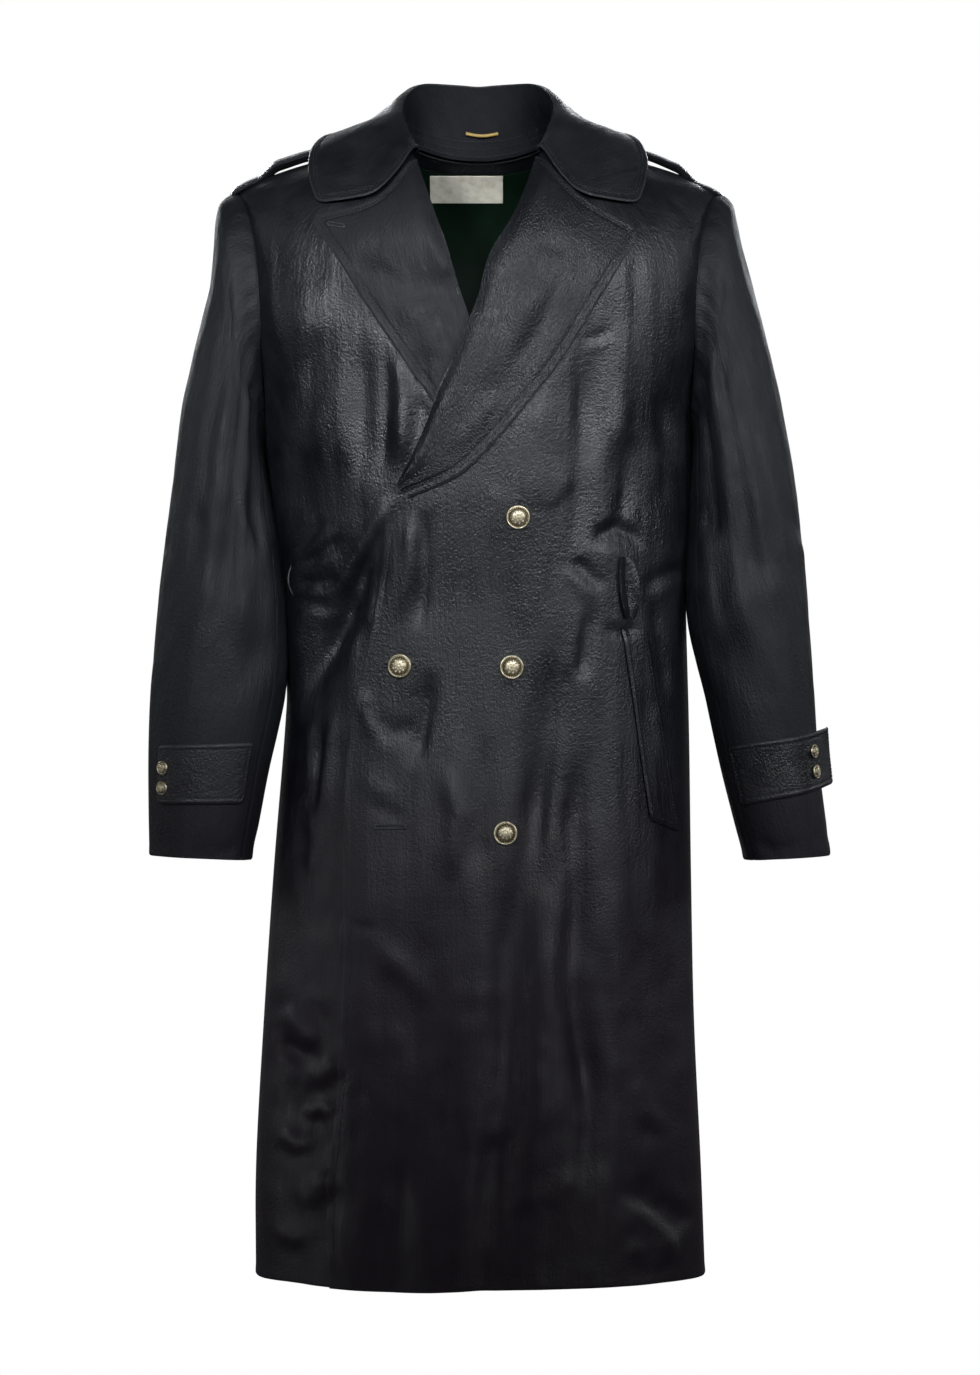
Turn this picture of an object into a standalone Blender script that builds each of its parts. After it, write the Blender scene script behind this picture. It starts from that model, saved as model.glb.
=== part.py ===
# Double-breasted raincoat, hollow as when worn: its front faces -Y, the wearer's left is +X, +Z is up.
# The origin lies between the shoulders at the height of the back neck seam.
import math
from bisect import bisect_right
from collections import namedtuple
from functools import lru_cache

import bmesh
import bpy
from mathutils import Vector

for leftover in list(bpy.data.objects):
    bpy.data.objects.remove(leftover, do_unlink=True)

# Every size below is in millimetres, and the meshes are written in metres.
MM = 0.001
CLOTH = 1.4                  # coated shell cloth
DOUBLED = 2.2                # straps, loops and welts of two layers
LINING = 1.0
LABEL = 0.8
SEAM = 0.2                   # each piece stops this far short of its seam line
LAID = 0.5                   # gap between a panel and a piece that lies on it

LEFT = 1                     # the wearer's left
RIGHT = -1

HEM_Z = -1106
HEM_DIP = 4                  # the hem hangs lower at the overlap
HEM_DIP_X = -75
HEM_DIP_HALF = 80
ARMPIT_Z = -270
BREAK_Z = -338               # lapel break point
NECK_X = 75                  # neck point on each shoulder seam
BACK_NECK_Z = 9
RIDGE_Y = 8                  # shoulder seams run a little behind the middle
SHOULDER_ROUND = 140         # height over which the shoulder rounds to its seam
RIDGE_REACH = 251            # half width that the shoulder seam is measured on

SKIRT_ROWS = 22              # rows of cloth from the hem to the armpit
HEM_DIP_ROWS = 5             # rows over which the hem's dip fades out
ARMHOLE_ROWS = 10            # rows from the armpit to the shoulder tip
FRONT_COLUMNS = 18
NECK_COLUMNS = 8             # back columns under the neck
YOKE_COLUMNS = 6             # back columns under each shoulder

# Rings of the body, hem to shoulder: side, front and back reach, and squareness.
Section = namedtuple("Section", "z right left front back square")
BODY = [
    Section(-1106, -222, 227, -152, 152, 2.25),
    Section(-1000, -222, 223, -147, 145, 2.25),
    Section(-850, -214, 216, -139, 134, 2.3),
    Section(-700, -204, 213, -133, 123, 2.35),
    Section(-560, -193, 211, -128, 111, 2.4),
    Section(-440, -188, 208, -131, 109, 2.4),
    Section(-340, -200, 208, -140, 117, 2.4),
    Section(-270, -209, 209, -144, 123, 2.4),
    Section(-170, -233, 233, -143, 127, 2.4),
    Section(-60, -250, 249, -137, 125, 2.4),
    Section(30, -253, 251, -130, 120, 2.4),
]

# Height of the shoulder seam against the distance from the middle.
Ridge = namedtuple("Ridge", "x z")
SHOULDER = [Ridge(0, 25), Ridge(75, 25), Ridge(160, 5), Ridge(210, -11), Ridge(240, -26), Ridge(262, -40)]

# Inner edge of each front: the overlap's edge to the break point, then the roll line to the neck.
Edge = namedtuple("Edge", "z left right")
FRONT_EDGE = [
    Edge(-1106, -143, 112),
    Edge(-1030, -147, 110),
    Edge(-920, -137, 106),
    Edge(-796, -130, 102),
    Edge(-690, -130, 98),
    Edge(-589, -128, 94),
    Edge(-472, -103, 90),
    Edge(-338, -84, 86),
    Edge(-286, -58, 54),
    Edge(-225, -35, 22),
    Edge(-170, -10, -12),
    Edge(-111, 7, -24),
    Edge(-63, 35, -40),
    Edge(3, 60, -63),
    Edge(25, 75, -75),
]

# The armhole leans forward and back of the side seam by this share of the ring's depth.
ARMHOLE_REACH = 0.555
ARMHOLE_TURN = 0.77 * math.pi

# Layers of the double-breasted front, measured out from the body ring.
OVER_LIFT = 3.6
UNDER_LIFT = -3.2
LAYER_FADE_LOW = -150        # the layers come together between these heights
LAYER_FADE_HIGH = -60

# Main folds: route seen from the front or back as x and z, half width, and height (troughs are negative).
Fold = namedtuple("Fold", "side route half_width height")
FRONT = -1
BACK = 1
FOLDS = [
    Fold(FRONT, ((88, -430), (66, -590), (47, -740), (26, -880), (6, -1106)), 19, -9),
    Fold(FRONT, ((104, -505), (94, -690), (98, -800), (108, -935), (100, -1040)), 16, -7),
    Fold(FRONT, ((74, -640), (72, -780), (66, -900), (56, -1030)), 15, 5),
    Fold(FRONT, ((-88, -345), (-118, -420), (-146, -480), (-176, -545)), 18, -10),
    Fold(FRONT, ((-60, -350), (-92, -440), (-118, -520), (-150, -600)), 16, 5),
    Fold(FRONT, ((-40, -700), (-66, -830), (-58, -960), (-84, -1106)), 26, -6),
    Fold(FRONT, ((-176, -800), (-168, -930), (-186, -1106)), 22, -6),
    Fold(FRONT, ((150, -1000), (176, -1060), (190, -1106)), 20, -6),
    Fold(FRONT, ((150, -285), (141, -330), (146, -372)), 18, -6),
    Fold(FRONT, ((110, -130), (120, -220), (112, -320)), 24, -5),
    Fold(FRONT, ((-160, -160), (-172, -260), (-166, -360)), 22, -6),
    Fold(BACK, ((-120, -330), (-104, -560), (-126, -800), (-140, -1106)), 26, -9),
    Fold(BACK, ((-30, -300), (-18, -520), (-34, -780), (-40, -1106)), 30, -8),
    Fold(BACK, ((66, -360), (58, -600), (76, -840), (80, -1106)), 26, -9),
    Fold(BACK, ((140, -420), (132, -640), (150, -880), (164, -1106)), 24, -7),
    Fold(BACK, ((-150, -120), (-110, -210), (-60, -270)), 22, -5),
    Fold(BACK, ((150, -110), (108, -200), (50, -260)), 22, -5),
]

# Turned lapels seen from the front: roll line, middle and outer edge of each row, break point to neck.
Lapel = namedtuple("Lapel", "roll_x roll_z mid_x mid_z edge_x edge_z")
LAPEL_LEFT = [
    Lapel(-78, -324, -72, -330, -66, -337),
    Lapel(-64, -298, -44, -313, -24, -319),
    Lapel(-42, -244, -14, -268, 14, -286),
    Lapel(-20, -194, 14, -222, 48, -246),
    Lapel(-2, -146, 40, -172, 82, -202),
    Lapel(12, -100, 62, -126, 112, -153),
    Lapel(34, -62, 86, -84, 138, -110),
    Lapel(47, -32, 92, -58, 153, -82),
    Lapel(57, 0, 97, -41, 152, -72),
]
LAPEL_RIGHT = [
    Lapel(80, -324, 74, -330, 68, -337),
    Lapel(60, -296, 40, -312, 20, -322),
    Lapel(31, -244, 6, -268, -20, -284),
    Lapel(3, -194, -22, -216, -48, -238),
    Lapel(-13, -146, -46, -168, -84, -186),
    Lapel(-28, -100, -72, -124, -114, -141),
    Lapel(-41, -62, -90, -80, -140, -98),
    Lapel(-51, -32, -92, -52, -158, -70),
    Lapel(-60, -3, -97, -43, -157, -60),
]
LAPEL_COLUMNS = 8
LAPEL_GAP = 2.4              # clearance from the front to the lapel on it
LAPEL_SEAT = 0.75            # clearance where the lapel turns out at its roll line
LAPEL_ROLL = 4.0             # how far the lapel stands off beside its roll line

# Collar from the middle of the back round to the gorge: share of the neck seam, fold line, middle and edge.
Leaf = namedtuple("Leaf", "share fold mid edge")
COLLAR = [
    Leaf(0.00, (0, 78, 86), (0, 100, 46), (0, 108, -24)),
    Leaf(0.15, (33, 75, 88), (46, 97, 48), (64, 106, -20)),
    Leaf(0.32, (57, 58, 86), (84, 80, 54), (118, 86, 2)),
    Leaf(0.48, (70, 32, 74), (104, 46, 53), (145, 46, 24)),
    Leaf(0.62, (75, 8, 60), (111, 13, 46), (153, 12, 31)),
    Leaf(0.76, (74, -17, 45), (117, -26, 36), (166, -22, 16)),
    Leaf(0.88, (67, -42, 26), (114, -66, 5), (168, -62, -13)),
    Leaf(1.00, (58, -66, 6), (98, -113, -35), (158, -95, -46)),
]
BACK_SHARE = 0.62            # share of the neck seam that lies on the back
GORGE_Z = 6
COLLAR_STATIONS = 14         # on each half
STAND_CLOTH = 2.0
STAND_ROWS = 4
FALL_SHARES = (0.0, 0.1, 0.3, 0.5, 0.75, 1.0)
FOLD_NOSE = 5                # the leaf runs out this far before it turns down

# Sleeve rings below the armhole: outer and inner edge seen from the front, and front and back reach.
Ring = namedtuple("Ring", "out_x out_z in_x in_z front back")
SLEEVE_LEFT = [
    Ring(248, -30, 213, -274, -77, 69),
    Ring(257, -41, 214, -280, -81, 71),
    Ring(262, -72, 213, -288, -84, 72),
    Ring(273, -118, 212, -300, -86, 70),
    Ring(289, -178, 210, -322, -88, 62),
    Ring(303, -245, 208, -352, -92, 50),
    Ring(316, -322, 206, -396, -97, 38),
    Ring(326, -415, 209, -462, -98, 27),
    Ring(333, -510, 225, -530, -96, 20),
    Ring(338, -595, 241, -603, -92, 15),
    Ring(350, -688, 264, -693, -88, 12),
]
SLEEVE_RIGHT = [
    Ring(-248, -29, -213, -274, -77, 69),
    Ring(-260, -40, -213, -280, -81, 71),
    Ring(-264, -72, -213, -288, -84, 72),
    Ring(-267, -118, -211, -300, -86, 70),
    Ring(-281, -178, -206, -322, -88, 62),
    Ring(-295, -245, -200, -352, -92, 50),
    Ring(-304, -322, -193, -396, -97, 38),
    Ring(-315, -415, -187, -462, -98, 27),
    Ring(-324, -510, -191, -530, -96, 20),
    Ring(-327, -595, -207, -603, -92, 15),
    Ring(-326, -688, -224, -693, -88, 12),
]
SLEEVE_SQUARE = 2.2
SLEEVE_STEPS = 2             # rows of cloth from one ring of the table to the next
HEAD_RINGS = 4               # the armhole's own shape fades out over these rings
FRONT_SEAM = 2               # armhole rows up from the armpit to each sleeve seam
BACK_SEAM = 4

# Sleeve folds: angle from the outer edge and height at each end, half width and height.
Crease = namedtuple("Crease", "start_turn start_z end_turn end_z half_width height")
CREASES = [
    Crease(-150, -330, -70, -390, 20, -6),
    Crease(-60, -360, -130, -430, 18, -5),
    Crease(-140, -470, -80, -520, 18, -5),
    Crease(-60, -110, -100, -240, 22, -5),
    Crease(60, -330, 140, -400, 20, -6),
    Crease(150, -440, 70, -500, 20, -5),
    Crease(60, -100, 100, -230, 22, -5),
]

# Cuff straps: height of the middle and width at the inner and the free end, and the turns they cover.
Strap = namedtuple("Strap", "side inner_z free_z inner_width free_width inner_turn free_turn flare")
STRAPS = [
    Strap(LEFT, -610, -589, 58, 56, -140, 4, 9),
    Strap(RIGHT, -606, -608, 60, 58, -132, -40, 0),
]
STRAP_ROWS = 4

# Epaulettes: distance from the middle, height of the left and the right strap, and half its width.
Epaulette = namedtuple("Epaulette", "x left right half_width")
EPAULETTE = [
    Epaulette(249, -27.2, -23, 22),
    Epaulette(245, -19, -13, 23),
    Epaulette(236, -13, -7, 24),
    Epaulette(218, -5, 1, 24),
    Epaulette(196, 5, 9, 23),
    Epaulette(174, 14, 16, 22),
    Epaulette(150, 20, 21, 20),
]
EPAULETTE_Y = 13
EPAULETTE_CROWN = {LEFT: 5, RIGHT: 8}     # the strap's edges drop this far below its middle

# Buttons: seat seen from the front on the left front, and turn and height on each sleeve strap.
FRONT_BUTTONS = [(39, -356), (33, -502), (27, -664), (-75, -501)]
SLEEVE_BUTTON_TURNS = {LEFT: -36, RIGHT: -48}
SLEEVE_BUTTON_HEIGHTS = {LEFT: (-585, -605), RIGHT: (-601, -621)}
FRONT_BUTTON_R = 11.5
SLEEVE_BUTTON_R = 6.6
BUTTON_GAP = 0.35
BUTTON_SIDES = 14
# Turned profile as shares of the radius, from the shank's foot to the crown.
BUTTON_PROFILE = [
    (0.22, 0.00), (0.22, 0.20), (0.90, 0.24), (1.00, 0.32),
    (0.95, 0.42), (0.84, 0.41), (0.74, 0.46), (0.42, 0.57),
]
BUTTON_CROWN = 0.61

# Slanted pocket welt seen from the front: top and bottom ends of its inner and outer edges.
WELT_TOP = ((140, -464), (166, -466))
WELT_BOTTOM = ((168, -652), (198, -664))
WELT_ROWS = 12
WELT_COLUMNS = 4
WELT_GAP = 0.8

# Cloth belt loop on the left front: middle of its top and bottom, width and stand-off.
LOOP_TOP = (143, -394)
LOOP_BOTTOM = (148, -454)
LOOP_WIDTH = 17
LOOP_STAND = 3.2
LOOP_GAP = 0.6
LOOP_ROWS = 10

# Thread loop at the right side: angle round the body, top and bottom, stand-off and thickness.
THREAD_TURN = -158
THREAD_TOP = -393
THREAD_BOTTOM = -441
THREAD_STAND = 11
THREAD_R = 1.1
THREAD_POINTS = 12

# Back lining: the back row that it starts from, and the columns that it leaves free at each side.
LINING_LOW_ROW = SKIRT_ROWS - 2
LINING_SIDE_COLUMNS = 2

LABEL_MIDDLE = (-12, -13)
LABEL_SIZE = (74, 26)
LABEL_GAP = 1.4              # between the label and the lining behind it
HANGER_MIDDLE = (4, 39)
HANGER_HALF = 17
HANGER_R = 1.8
HANGER_STAND = 3.0
HANGER_GAP = 1.2
HANGER_POINTS = 9


# Curves and blends

def lerp(start, end, share):
    return start + (end - start) * share


def ease(low, high, value):
    share = min(1.0, max(0.0, (value - low) / (high - low)))
    return share * share * (3 - 2 * share)


def smooth(keys, values, at):
    # A smooth curve through the values, which may be numbers or vectors.
    if at <= keys[0]:
        return values[0]
    if at >= keys[-1]:
        return values[-1]
    first = bisect_right(keys, at) - 1
    span = keys[first + 1] - keys[first]

    def slope(index):
        before = max(index - 1, 0)
        after = min(index + 1, len(keys) - 1)
        return (values[after] - values[before]) * (1 / (keys[after] - keys[before]))

    share = (at - keys[first]) / span
    left = share * share * (3 - 2 * share)
    plain = values[first] * (1 - left) + values[first + 1] * left
    bend = slope(first) * share * (1 - share) ** 2 - slope(first + 1) * share * share * (1 - share)
    return plain + bend * span


def column(table, name):
    return [getattr(row, name) for row in table]


# The body's surface: rings at each height that round over to the shoulder seams

@lru_cache(maxsize=None)
def section(z):
    heights = column(BODY, "z")
    return Section(z, *(smooth(heights, column(BODY, name), z) for name in Section._fields[1:]))


@lru_cache(maxsize=None)
def ridge_height(angle):
    reach = RIDGE_REACH * abs(math.cos(angle)) ** (2 / BODY[-1].square)
    return smooth(column(SHOULDER, "x"), column(SHOULDER, "z"), reach)


def signed_power(value, power):
    return math.copysign(abs(value) ** power, value)


@lru_cache(maxsize=None)
def body_base(angle, z):
    ring = section(z)
    power = 2 / ring.square
    x = (ring.left + ring.right) / 2 + (ring.left - ring.right) / 2 * signed_power(math.cos(angle), power)
    depth = ring.back if math.sin(angle) > 0 else -ring.front
    y = depth * signed_power(math.sin(angle), power)
    drop = min(1.0, max(0.0, (ridge_height(angle) - z) / SHOULDER_ROUND))
    y = lerp(RIDGE_Y, y, math.sqrt(1 - (1 - drop) ** 2))
    return Vector((x, y, z))


@lru_cache(maxsize=None)
def body_normal(angle, z):
    turn = 0.008
    climb = 0.1
    high = min(z + climb, ridge_height(angle))
    around = body_base(angle + turn, z) - body_base(angle - turn, z)
    upward = body_base(angle, high) - body_base(angle, high - 2 * climb)
    return around.cross(upward).normalized()


def route_height(x, z, fold):
    # Height of a fold at a point: a soft bell across its route that dies away at both ends.
    best = None
    walked = 0.0
    for (ax, az), (bx, bz) in zip(fold.route, fold.route[1:]):
        length = math.hypot(bx - ax, bz - az)
        share = ((x - ax) * (bx - ax) + (z - az) * (bz - az)) / (length * length)
        share = min(1.0, max(0.0, share))
        away = math.hypot(x - lerp(ax, bx, share), z - lerp(az, bz, share))
        if best is None or away < best[0]:
            best = (away, walked + share * length)
        walked += length
    away, along = best
    end_share = min(along, walked - along) / walked
    open_hem = along > walked / 2 and fold.route[-1][1] <= HEM_Z
    fade = 1.0 if open_hem else ease(0, 0.3, end_share)
    return fold.height * fade * math.exp(-(away / fold.half_width) ** 2)


def fold_height(angle, x, z):
    side = BACK if math.sin(angle) > 0 else FRONT
    fade = ease(0.12, 0.45, abs(math.sin(angle)))
    return fade * sum(route_height(x, z, fold) for fold in FOLDS if fold.side == side)


def body_point(angle, z, lift=0.0):
    base = body_base(angle, z)
    return base + body_normal(angle, z) * (lift + fold_height(angle, base.x, z))


def facing_angle(x, z, side):
    # Angle round the body of a point seen from the front or the back.
    ring = section(z)
    share = (x - (ring.left + ring.right) / 2) / ((ring.left - ring.right) / 2)
    return side * math.acos(signed_power(max(-1.0, min(1.0, share)), ring.square / 2))


def armhole_lean(share):
    return math.asin((ARMHOLE_REACH * math.sin(ARMHOLE_TURN * share)) ** (BODY[-1].square / 2))


def armhole_angle(row, body_side, face):
    # Angle and height of one row of the armhole, from the armpit to the shoulder tip.
    share = row / ARMHOLE_ROWS
    z = lerp(ARMPIT_Z, ridge_height(armhole_lean(1.0)), (1 - math.cos(math.pi * share)) / 2)
    lean = armhole_lean(share)
    return face * (lean if body_side == LEFT else math.pi - lean), z


def side_row(row, body_side, face):
    # Angle and height where a panel row meets the side seam or the armhole.
    if row <= SKIRT_ROWS:
        return face * (0.0 if body_side == LEFT else math.pi), lerp(HEM_Z, ARMPIT_Z, row / SKIRT_ROWS)
    return armhole_angle(row - SKIRT_ROWS, body_side, face)


def climb_share(row):
    # Share of the way from the armpit row to the top row, with closer rows near the shoulder.
    return 1 - (1 - max(0, row - SKIRT_ROWS) / ARMHOLE_ROWS) ** 1.6


def top_weight(row):
    return (max(0, row - SKIRT_ROWS) / ARMHOLE_ROWS) ** 2


# Building solids

def finish(name, bm, material):
    bmesh.ops.recalc_face_normals(bm, faces=bm.faces)
    mesh = bpy.data.meshes.new(name)
    bm.to_mesh(mesh)
    bm.free()
    mesh.shade_smooth()
    mesh.set_sharp_from_angle(angle=math.radians(50))
    mesh.materials.append(material)
    piece = bpy.data.objects.new(name, mesh)
    piece.parent = coat
    bpy.context.scene.collection.objects.link(piece)
    return piece


def wall(name, outer, inner, material):
    # A closed wall between two grids of points with the same rows and columns.
    bm = bmesh.new()
    rows = len(outer)
    columns = len(outer[0])
    faces = [[[bm.verts.new(point * MM) for point in row] for row in grid] for grid in (outer, inner)]
    for grid in faces:
        for r in range(rows - 1):
            for c in range(columns - 1):
                bm.faces.new((grid[r][c], grid[r][c + 1], grid[r + 1][c + 1], grid[r + 1][c]))
    border = [(0, c) for c in range(columns - 1)]
    border += [(r, columns - 1) for r in range(rows - 1)]
    border += [(rows - 1, c) for c in range(columns - 1, 0, -1)]
    border += [(r, 0) for r in range(rows - 1, 0, -1)]
    for (r, c), (next_r, next_c) in zip(border, border[1:] + border[:1]):
        corners = (faces[0][next_r][next_c], faces[0][r][c], faces[1][r][c], faces[1][next_r][next_c])
        bm.faces.new(corners)
    return finish(name, bm, material)


def trim(grid, first=True, last=True, top=False):
    # Pulls the outer columns, and the top row, back from their seam lines.
    for row in grid:
        if first:
            row[0] = row[0] + (row[1] - row[0]).normalized() * SEAM
        if last:
            row[-1] = row[-1] + (row[-2] - row[-1]).normalized() * SEAM
    if top:
        grid[-1] = [p + (q - p).normalized() * SEAM for p, q in zip(grid[-1], grid[-2])]
    return grid


def grid_normals(grid):
    # Normals of a grid of points, from the points on either side of each.
    rows = len(grid)
    columns = len(grid[0])
    normals = []
    for r in range(rows):
        normals.append([])
        for c in range(columns):
            along = grid[r][min(c + 1, columns - 1)] - grid[r][max(c - 1, 0)]
            upward = grid[min(r + 1, rows - 1)][c] - grid[max(r - 1, 0)][c]
            normals[-1].append(along.cross(upward).normalized())
    return normals


def shifted(grid, normals, distance):
    return [[p + n * distance for p, n in zip(row, tops)] for row, tops in zip(grid, normals)]


def material(name, colour, roughness, metallic=0.0):
    made = bpy.data.materials.new(name)
    made.use_nodes = True
    shader = made.node_tree.nodes["Principled BSDF"]
    shader.inputs["Base Color"].default_value = (*colour, 1.0)
    shader.inputs["Roughness"].default_value = roughness
    shader.inputs["Metallic"].default_value = metallic
    return made


# Body panels

def over_lift(x, z):
    fade = 1 - ease(LAYER_FADE_LOW, LAYER_FADE_HIGH, z)
    return OVER_LIFT * fade * (1 - ease(115, 175, x))


def under_lift(x, z):
    fade = 1 - ease(LAYER_FADE_LOW, LAYER_FADE_HIGH, z)
    return UNDER_LIFT * fade * ease(-200, -155, x)


def front_lift(body_side, x, z):
    return over_lift(x, z) if body_side == LEFT else under_lift(x, z)


def hem_dip(x):
    return HEM_DIP * math.exp(-((x - HEM_DIP_X) / HEM_DIP_HALF) ** 2)


def front_panel(body_side, name):
    edge_x = column(FRONT_EDGE, "left" if body_side == LEFT else "right")
    edge_z = column(FRONT_EDGE, "z")
    neck_z = edge_z[-1]
    outer = []
    inner = []
    for row in range(SKIRT_ROWS + ARMHOLE_ROWS + 1):
        side_turn, side_z = side_row(row, body_side, FRONT)
        if row <= SKIRT_ROWS:
            front_z = lerp(HEM_Z, BREAK_Z, row / SKIRT_ROWS)
        else:
            front_z = lerp(BREAK_Z, neck_z, climb_share(row))
        front_turn = facing_angle(smooth(edge_z, edge_x, front_z), front_z, FRONT)
        outer.append([])
        inner.append([])
        for step in range(FRONT_COLUMNS + 1):
            share = step / FRONT_COLUMNS
            turn = lerp(front_turn, side_turn, share)
            arch = ridge_height(turn) - lerp(ridge_height(front_turn), ridge_height(side_turn), share)
            z = lerp(front_z, side_z, share) + arch * top_weight(row)
            z -= hem_dip(body_base(turn, z).x) * max(0, 1 - row / HEM_DIP_ROWS)
            lift = front_lift(body_side, body_base(turn, z).x, z)
            outer[-1].append(body_point(turn, z, lift))
            inner[-1].append(body_point(turn, z, lift - CLOTH))
    trim(outer, first=False, top=True)
    trim(inner, first=False, top=True)
    return wall(name, outer, inner, shell_cloth)


def back_top(turn):
    x = abs(body_base(turn, SHOULDER[0].z).x)
    scoop = lerp(BACK_NECK_Z, SHOULDER[0].z, min(1.0, x / NECK_X) ** 2)
    return min(scoop, ridge_height(turn))


def back_grid():
    # Angle and height of each point of the back, from the left side seam to the right.
    grid = []
    tip_z = side_row(SKIRT_ROWS + ARMHOLE_ROWS, LEFT, BACK)[1]
    for row in range(SKIRT_ROWS + ARMHOLE_ROWS + 1):
        ends = [side_row(row, side, BACK) for side in (LEFT, RIGHT)]
        middle_z = lerp(ends[0][1], lerp(ARMPIT_Z, BACK_NECK_Z, climb_share(row)), top_weight(row) ** 0.5)
        necks = [facing_angle(side * NECK_X, min(middle_z, SHOULDER[0].z), BACK) for side in (LEFT, RIGHT)]
        turns = [lerp(ends[0][0], necks[0], step / YOKE_COLUMNS) for step in range(YOKE_COLUMNS)]
        turns += [lerp(necks[0], necks[1], step / NECK_COLUMNS) for step in range(NECK_COLUMNS)]
        turns += [lerp(necks[1], ends[1][0], step / YOKE_COLUMNS) for step in range(YOKE_COLUMNS + 1)]
        grid.append([])
        for index, turn in enumerate(turns):
            swell = math.sin(math.pi * index / (len(turns) - 1))
            plain_top = lerp(tip_z, BACK_NECK_Z, swell)
            z = lerp(ends[0][1], middle_z, swell) + (back_top(turn) - plain_top) * top_weight(row)
            grid[-1].append((turn, z))
    return grid


def back_panel(name):
    outer = [[body_point(turn, z) for turn, z in row] for row in BACK_GRID]
    inner = [[body_point(turn, z, -CLOTH) for turn, z in row] for row in BACK_GRID]
    trim(outer, top=True)
    trim(inner, top=True)
    return wall(name, outer, inner, shell_cloth)


# Sleeves: rings from the armhole seam to the cuff, counted from the armpit round the front to the back

def sleeve_ring(table, level, turn):
    levels = list(range(1, len(table) + 1))
    ring = Ring(*(smooth(levels, column(table, name), level) for name in Ring._fields))
    power = 2 / SLEEVE_SQUARE
    outward = (1 + signed_power(math.cos(turn), power)) / 2
    depth = ring.front if math.sin(turn) < 0 else ring.back
    middle_y = (ring.front + ring.back) / 2
    y = middle_y + (depth - middle_y) * abs(math.sin(turn)) ** power
    return Vector((lerp(ring.in_x, ring.out_x, outward), y, lerp(ring.in_z, ring.out_z, outward)))


def crease_height(turn, z):
    total = 0.0
    degrees = math.degrees(turn)
    for crease in CREASES:
        width = 1.2                     # millimetres of cloth to a degree round the sleeve
        ax, az = crease.start_turn * width, crease.start_z
        bx, bz = crease.end_turn * width, crease.end_z
        fold = Fold(FRONT, ((ax, az), (bx, bz)), crease.half_width, crease.height)
        total += route_height(degrees * width, z, fold)
    return total


def armhole_points(body_side):
    # The armhole seam from the armpit up the front and down the back, with the turn of each point.
    points = []
    for row in range(ARMHOLE_ROWS + 1):
        angle, z = armhole_angle(row, body_side, FRONT)
        points.append((body_point(angle, z), -math.pi * (1 - row / ARMHOLE_ROWS)))
    for row in range(ARMHOLE_ROWS - 1, 0, -1):
        angle, z = armhole_angle(row, body_side, BACK)
        points.append((body_point(angle, z), math.pi * (1 - row / ARMHOLE_ROWS)))
    return points


def sleeve_grid(body_side):
    # Points of the whole tube: a list of rings, each closed on itself.
    table = SLEEVE_LEFT if body_side == LEFT else SLEEVE_RIGHT
    seam = armhole_points(body_side)
    rows = [[point for point, _ in seam]]
    for step in range((len(table) - 1) * SLEEVE_STEPS + 1):
        level = 1 + step / SLEEVE_STEPS
        own = max(0.0, 1 - level / HEAD_RINGS) ** 2
        ring = []
        for point, turn in seam:
            plain = sleeve_ring(table, level, turn)
            first = sleeve_ring(table, 1, turn)
            ring.append(plain + (point - first) * own)
        rows.append(ring)
    rows[0] = [p + (q - p).normalized() * 2 * SEAM for p, q in zip(rows[0], rows[1])]
    turns = [turn for _, turn in seam]
    normals = tube_normals(rows, body_side)
    creased = []
    for row, tops in zip(rows, normals):
        creased.append([p + n * crease_height(turn, p.z) for p, n, turn in zip(row, tops, turns)])
    creased[0] = rows[0]
    return creased, tube_normals(creased, body_side), turns


def tube_normals(rows, body_side):
    around = len(rows[0])
    normals = []
    for r, row in enumerate(rows):
        normals.append([])
        for c in range(around):
            along = row[(c + 1) % around] - row[(c - 1) % around]
            down = rows[min(r + 1, len(rows) - 1)][c] - rows[max(r - 1, 0)][c]
            normals[-1].append(along.cross(down).normalized() * -body_side)
    return normals


def sleeve_piece(name, body_side, columns):
    grid, normals, _ = SLEEVES[body_side]
    outer = [[row[c] for c in columns] for row in grid]
    tops = [[row[c] for c in columns] for row in normals]
    inner = shifted(outer, tops, -CLOTH)
    trim(outer)
    trim(inner)
    return wall(name, outer, inner, shell_cloth)


def sleeve_surface(body_side, turn, z, lift):
    # Point and normal of a finished sleeve at an angle and a height, moved out.
    grid, normals, turns = SLEEVES[body_side]
    closed = turns + [math.pi]
    spot = min(len(turns) - 1, bisect_right(closed, turn) - 1)
    share = (turn - closed[spot]) / (closed[spot + 1] - closed[spot])
    after = (spot + 1) % len(turns)
    line = [(lerp(row[spot], row[after], share), lerp(tops[spot], tops[after], share))
            for row, tops in zip(grid, normals)]
    for (high, high_normal), (low, low_normal) in zip(line, line[1:]):
        if low.z <= z <= high.z:
            drop = (high.z - z) / (high.z - low.z)
            normal = lerp(high_normal, low_normal, drop).normalized()
            return lerp(high, low, drop) + normal * lift, normal
    raise ValueError("height is off the sleeve")


# Lapels and collar

def lapel(name, table, body_side):
    outer = []
    inner = []
    for line in table:
        xs = (line.roll_x, line.mid_x, line.edge_x)
        zs = (line.roll_z, line.mid_z, line.edge_z)
        outer.append([])
        inner.append([])
        for step in range(LAPEL_COLUMNS + 1):
            share = step / LAPEL_COLUMNS
            x = smooth((0.0, 0.5, 1.0), xs, share)
            z = smooth((0.0, 0.5, 1.0), zs, share)
            roll = LAPEL_ROLL * (1 - ease(0.12, 0.8, share))
            if body_side == RIGHT:
                roll *= ease(-130, -70, z)
            rise = LAPEL_GAP + roll if step else LAPEL_SEAT
            lift = front_lift(body_side, x, z) + rise
            angle = facing_angle(x, z, FRONT)
            outer[-1].append(body_point(angle, z, lift + CLOTH))
            inner[-1].append(body_point(angle, z, lift))
    return wall(name, outer, inner, shell_cloth)


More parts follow.
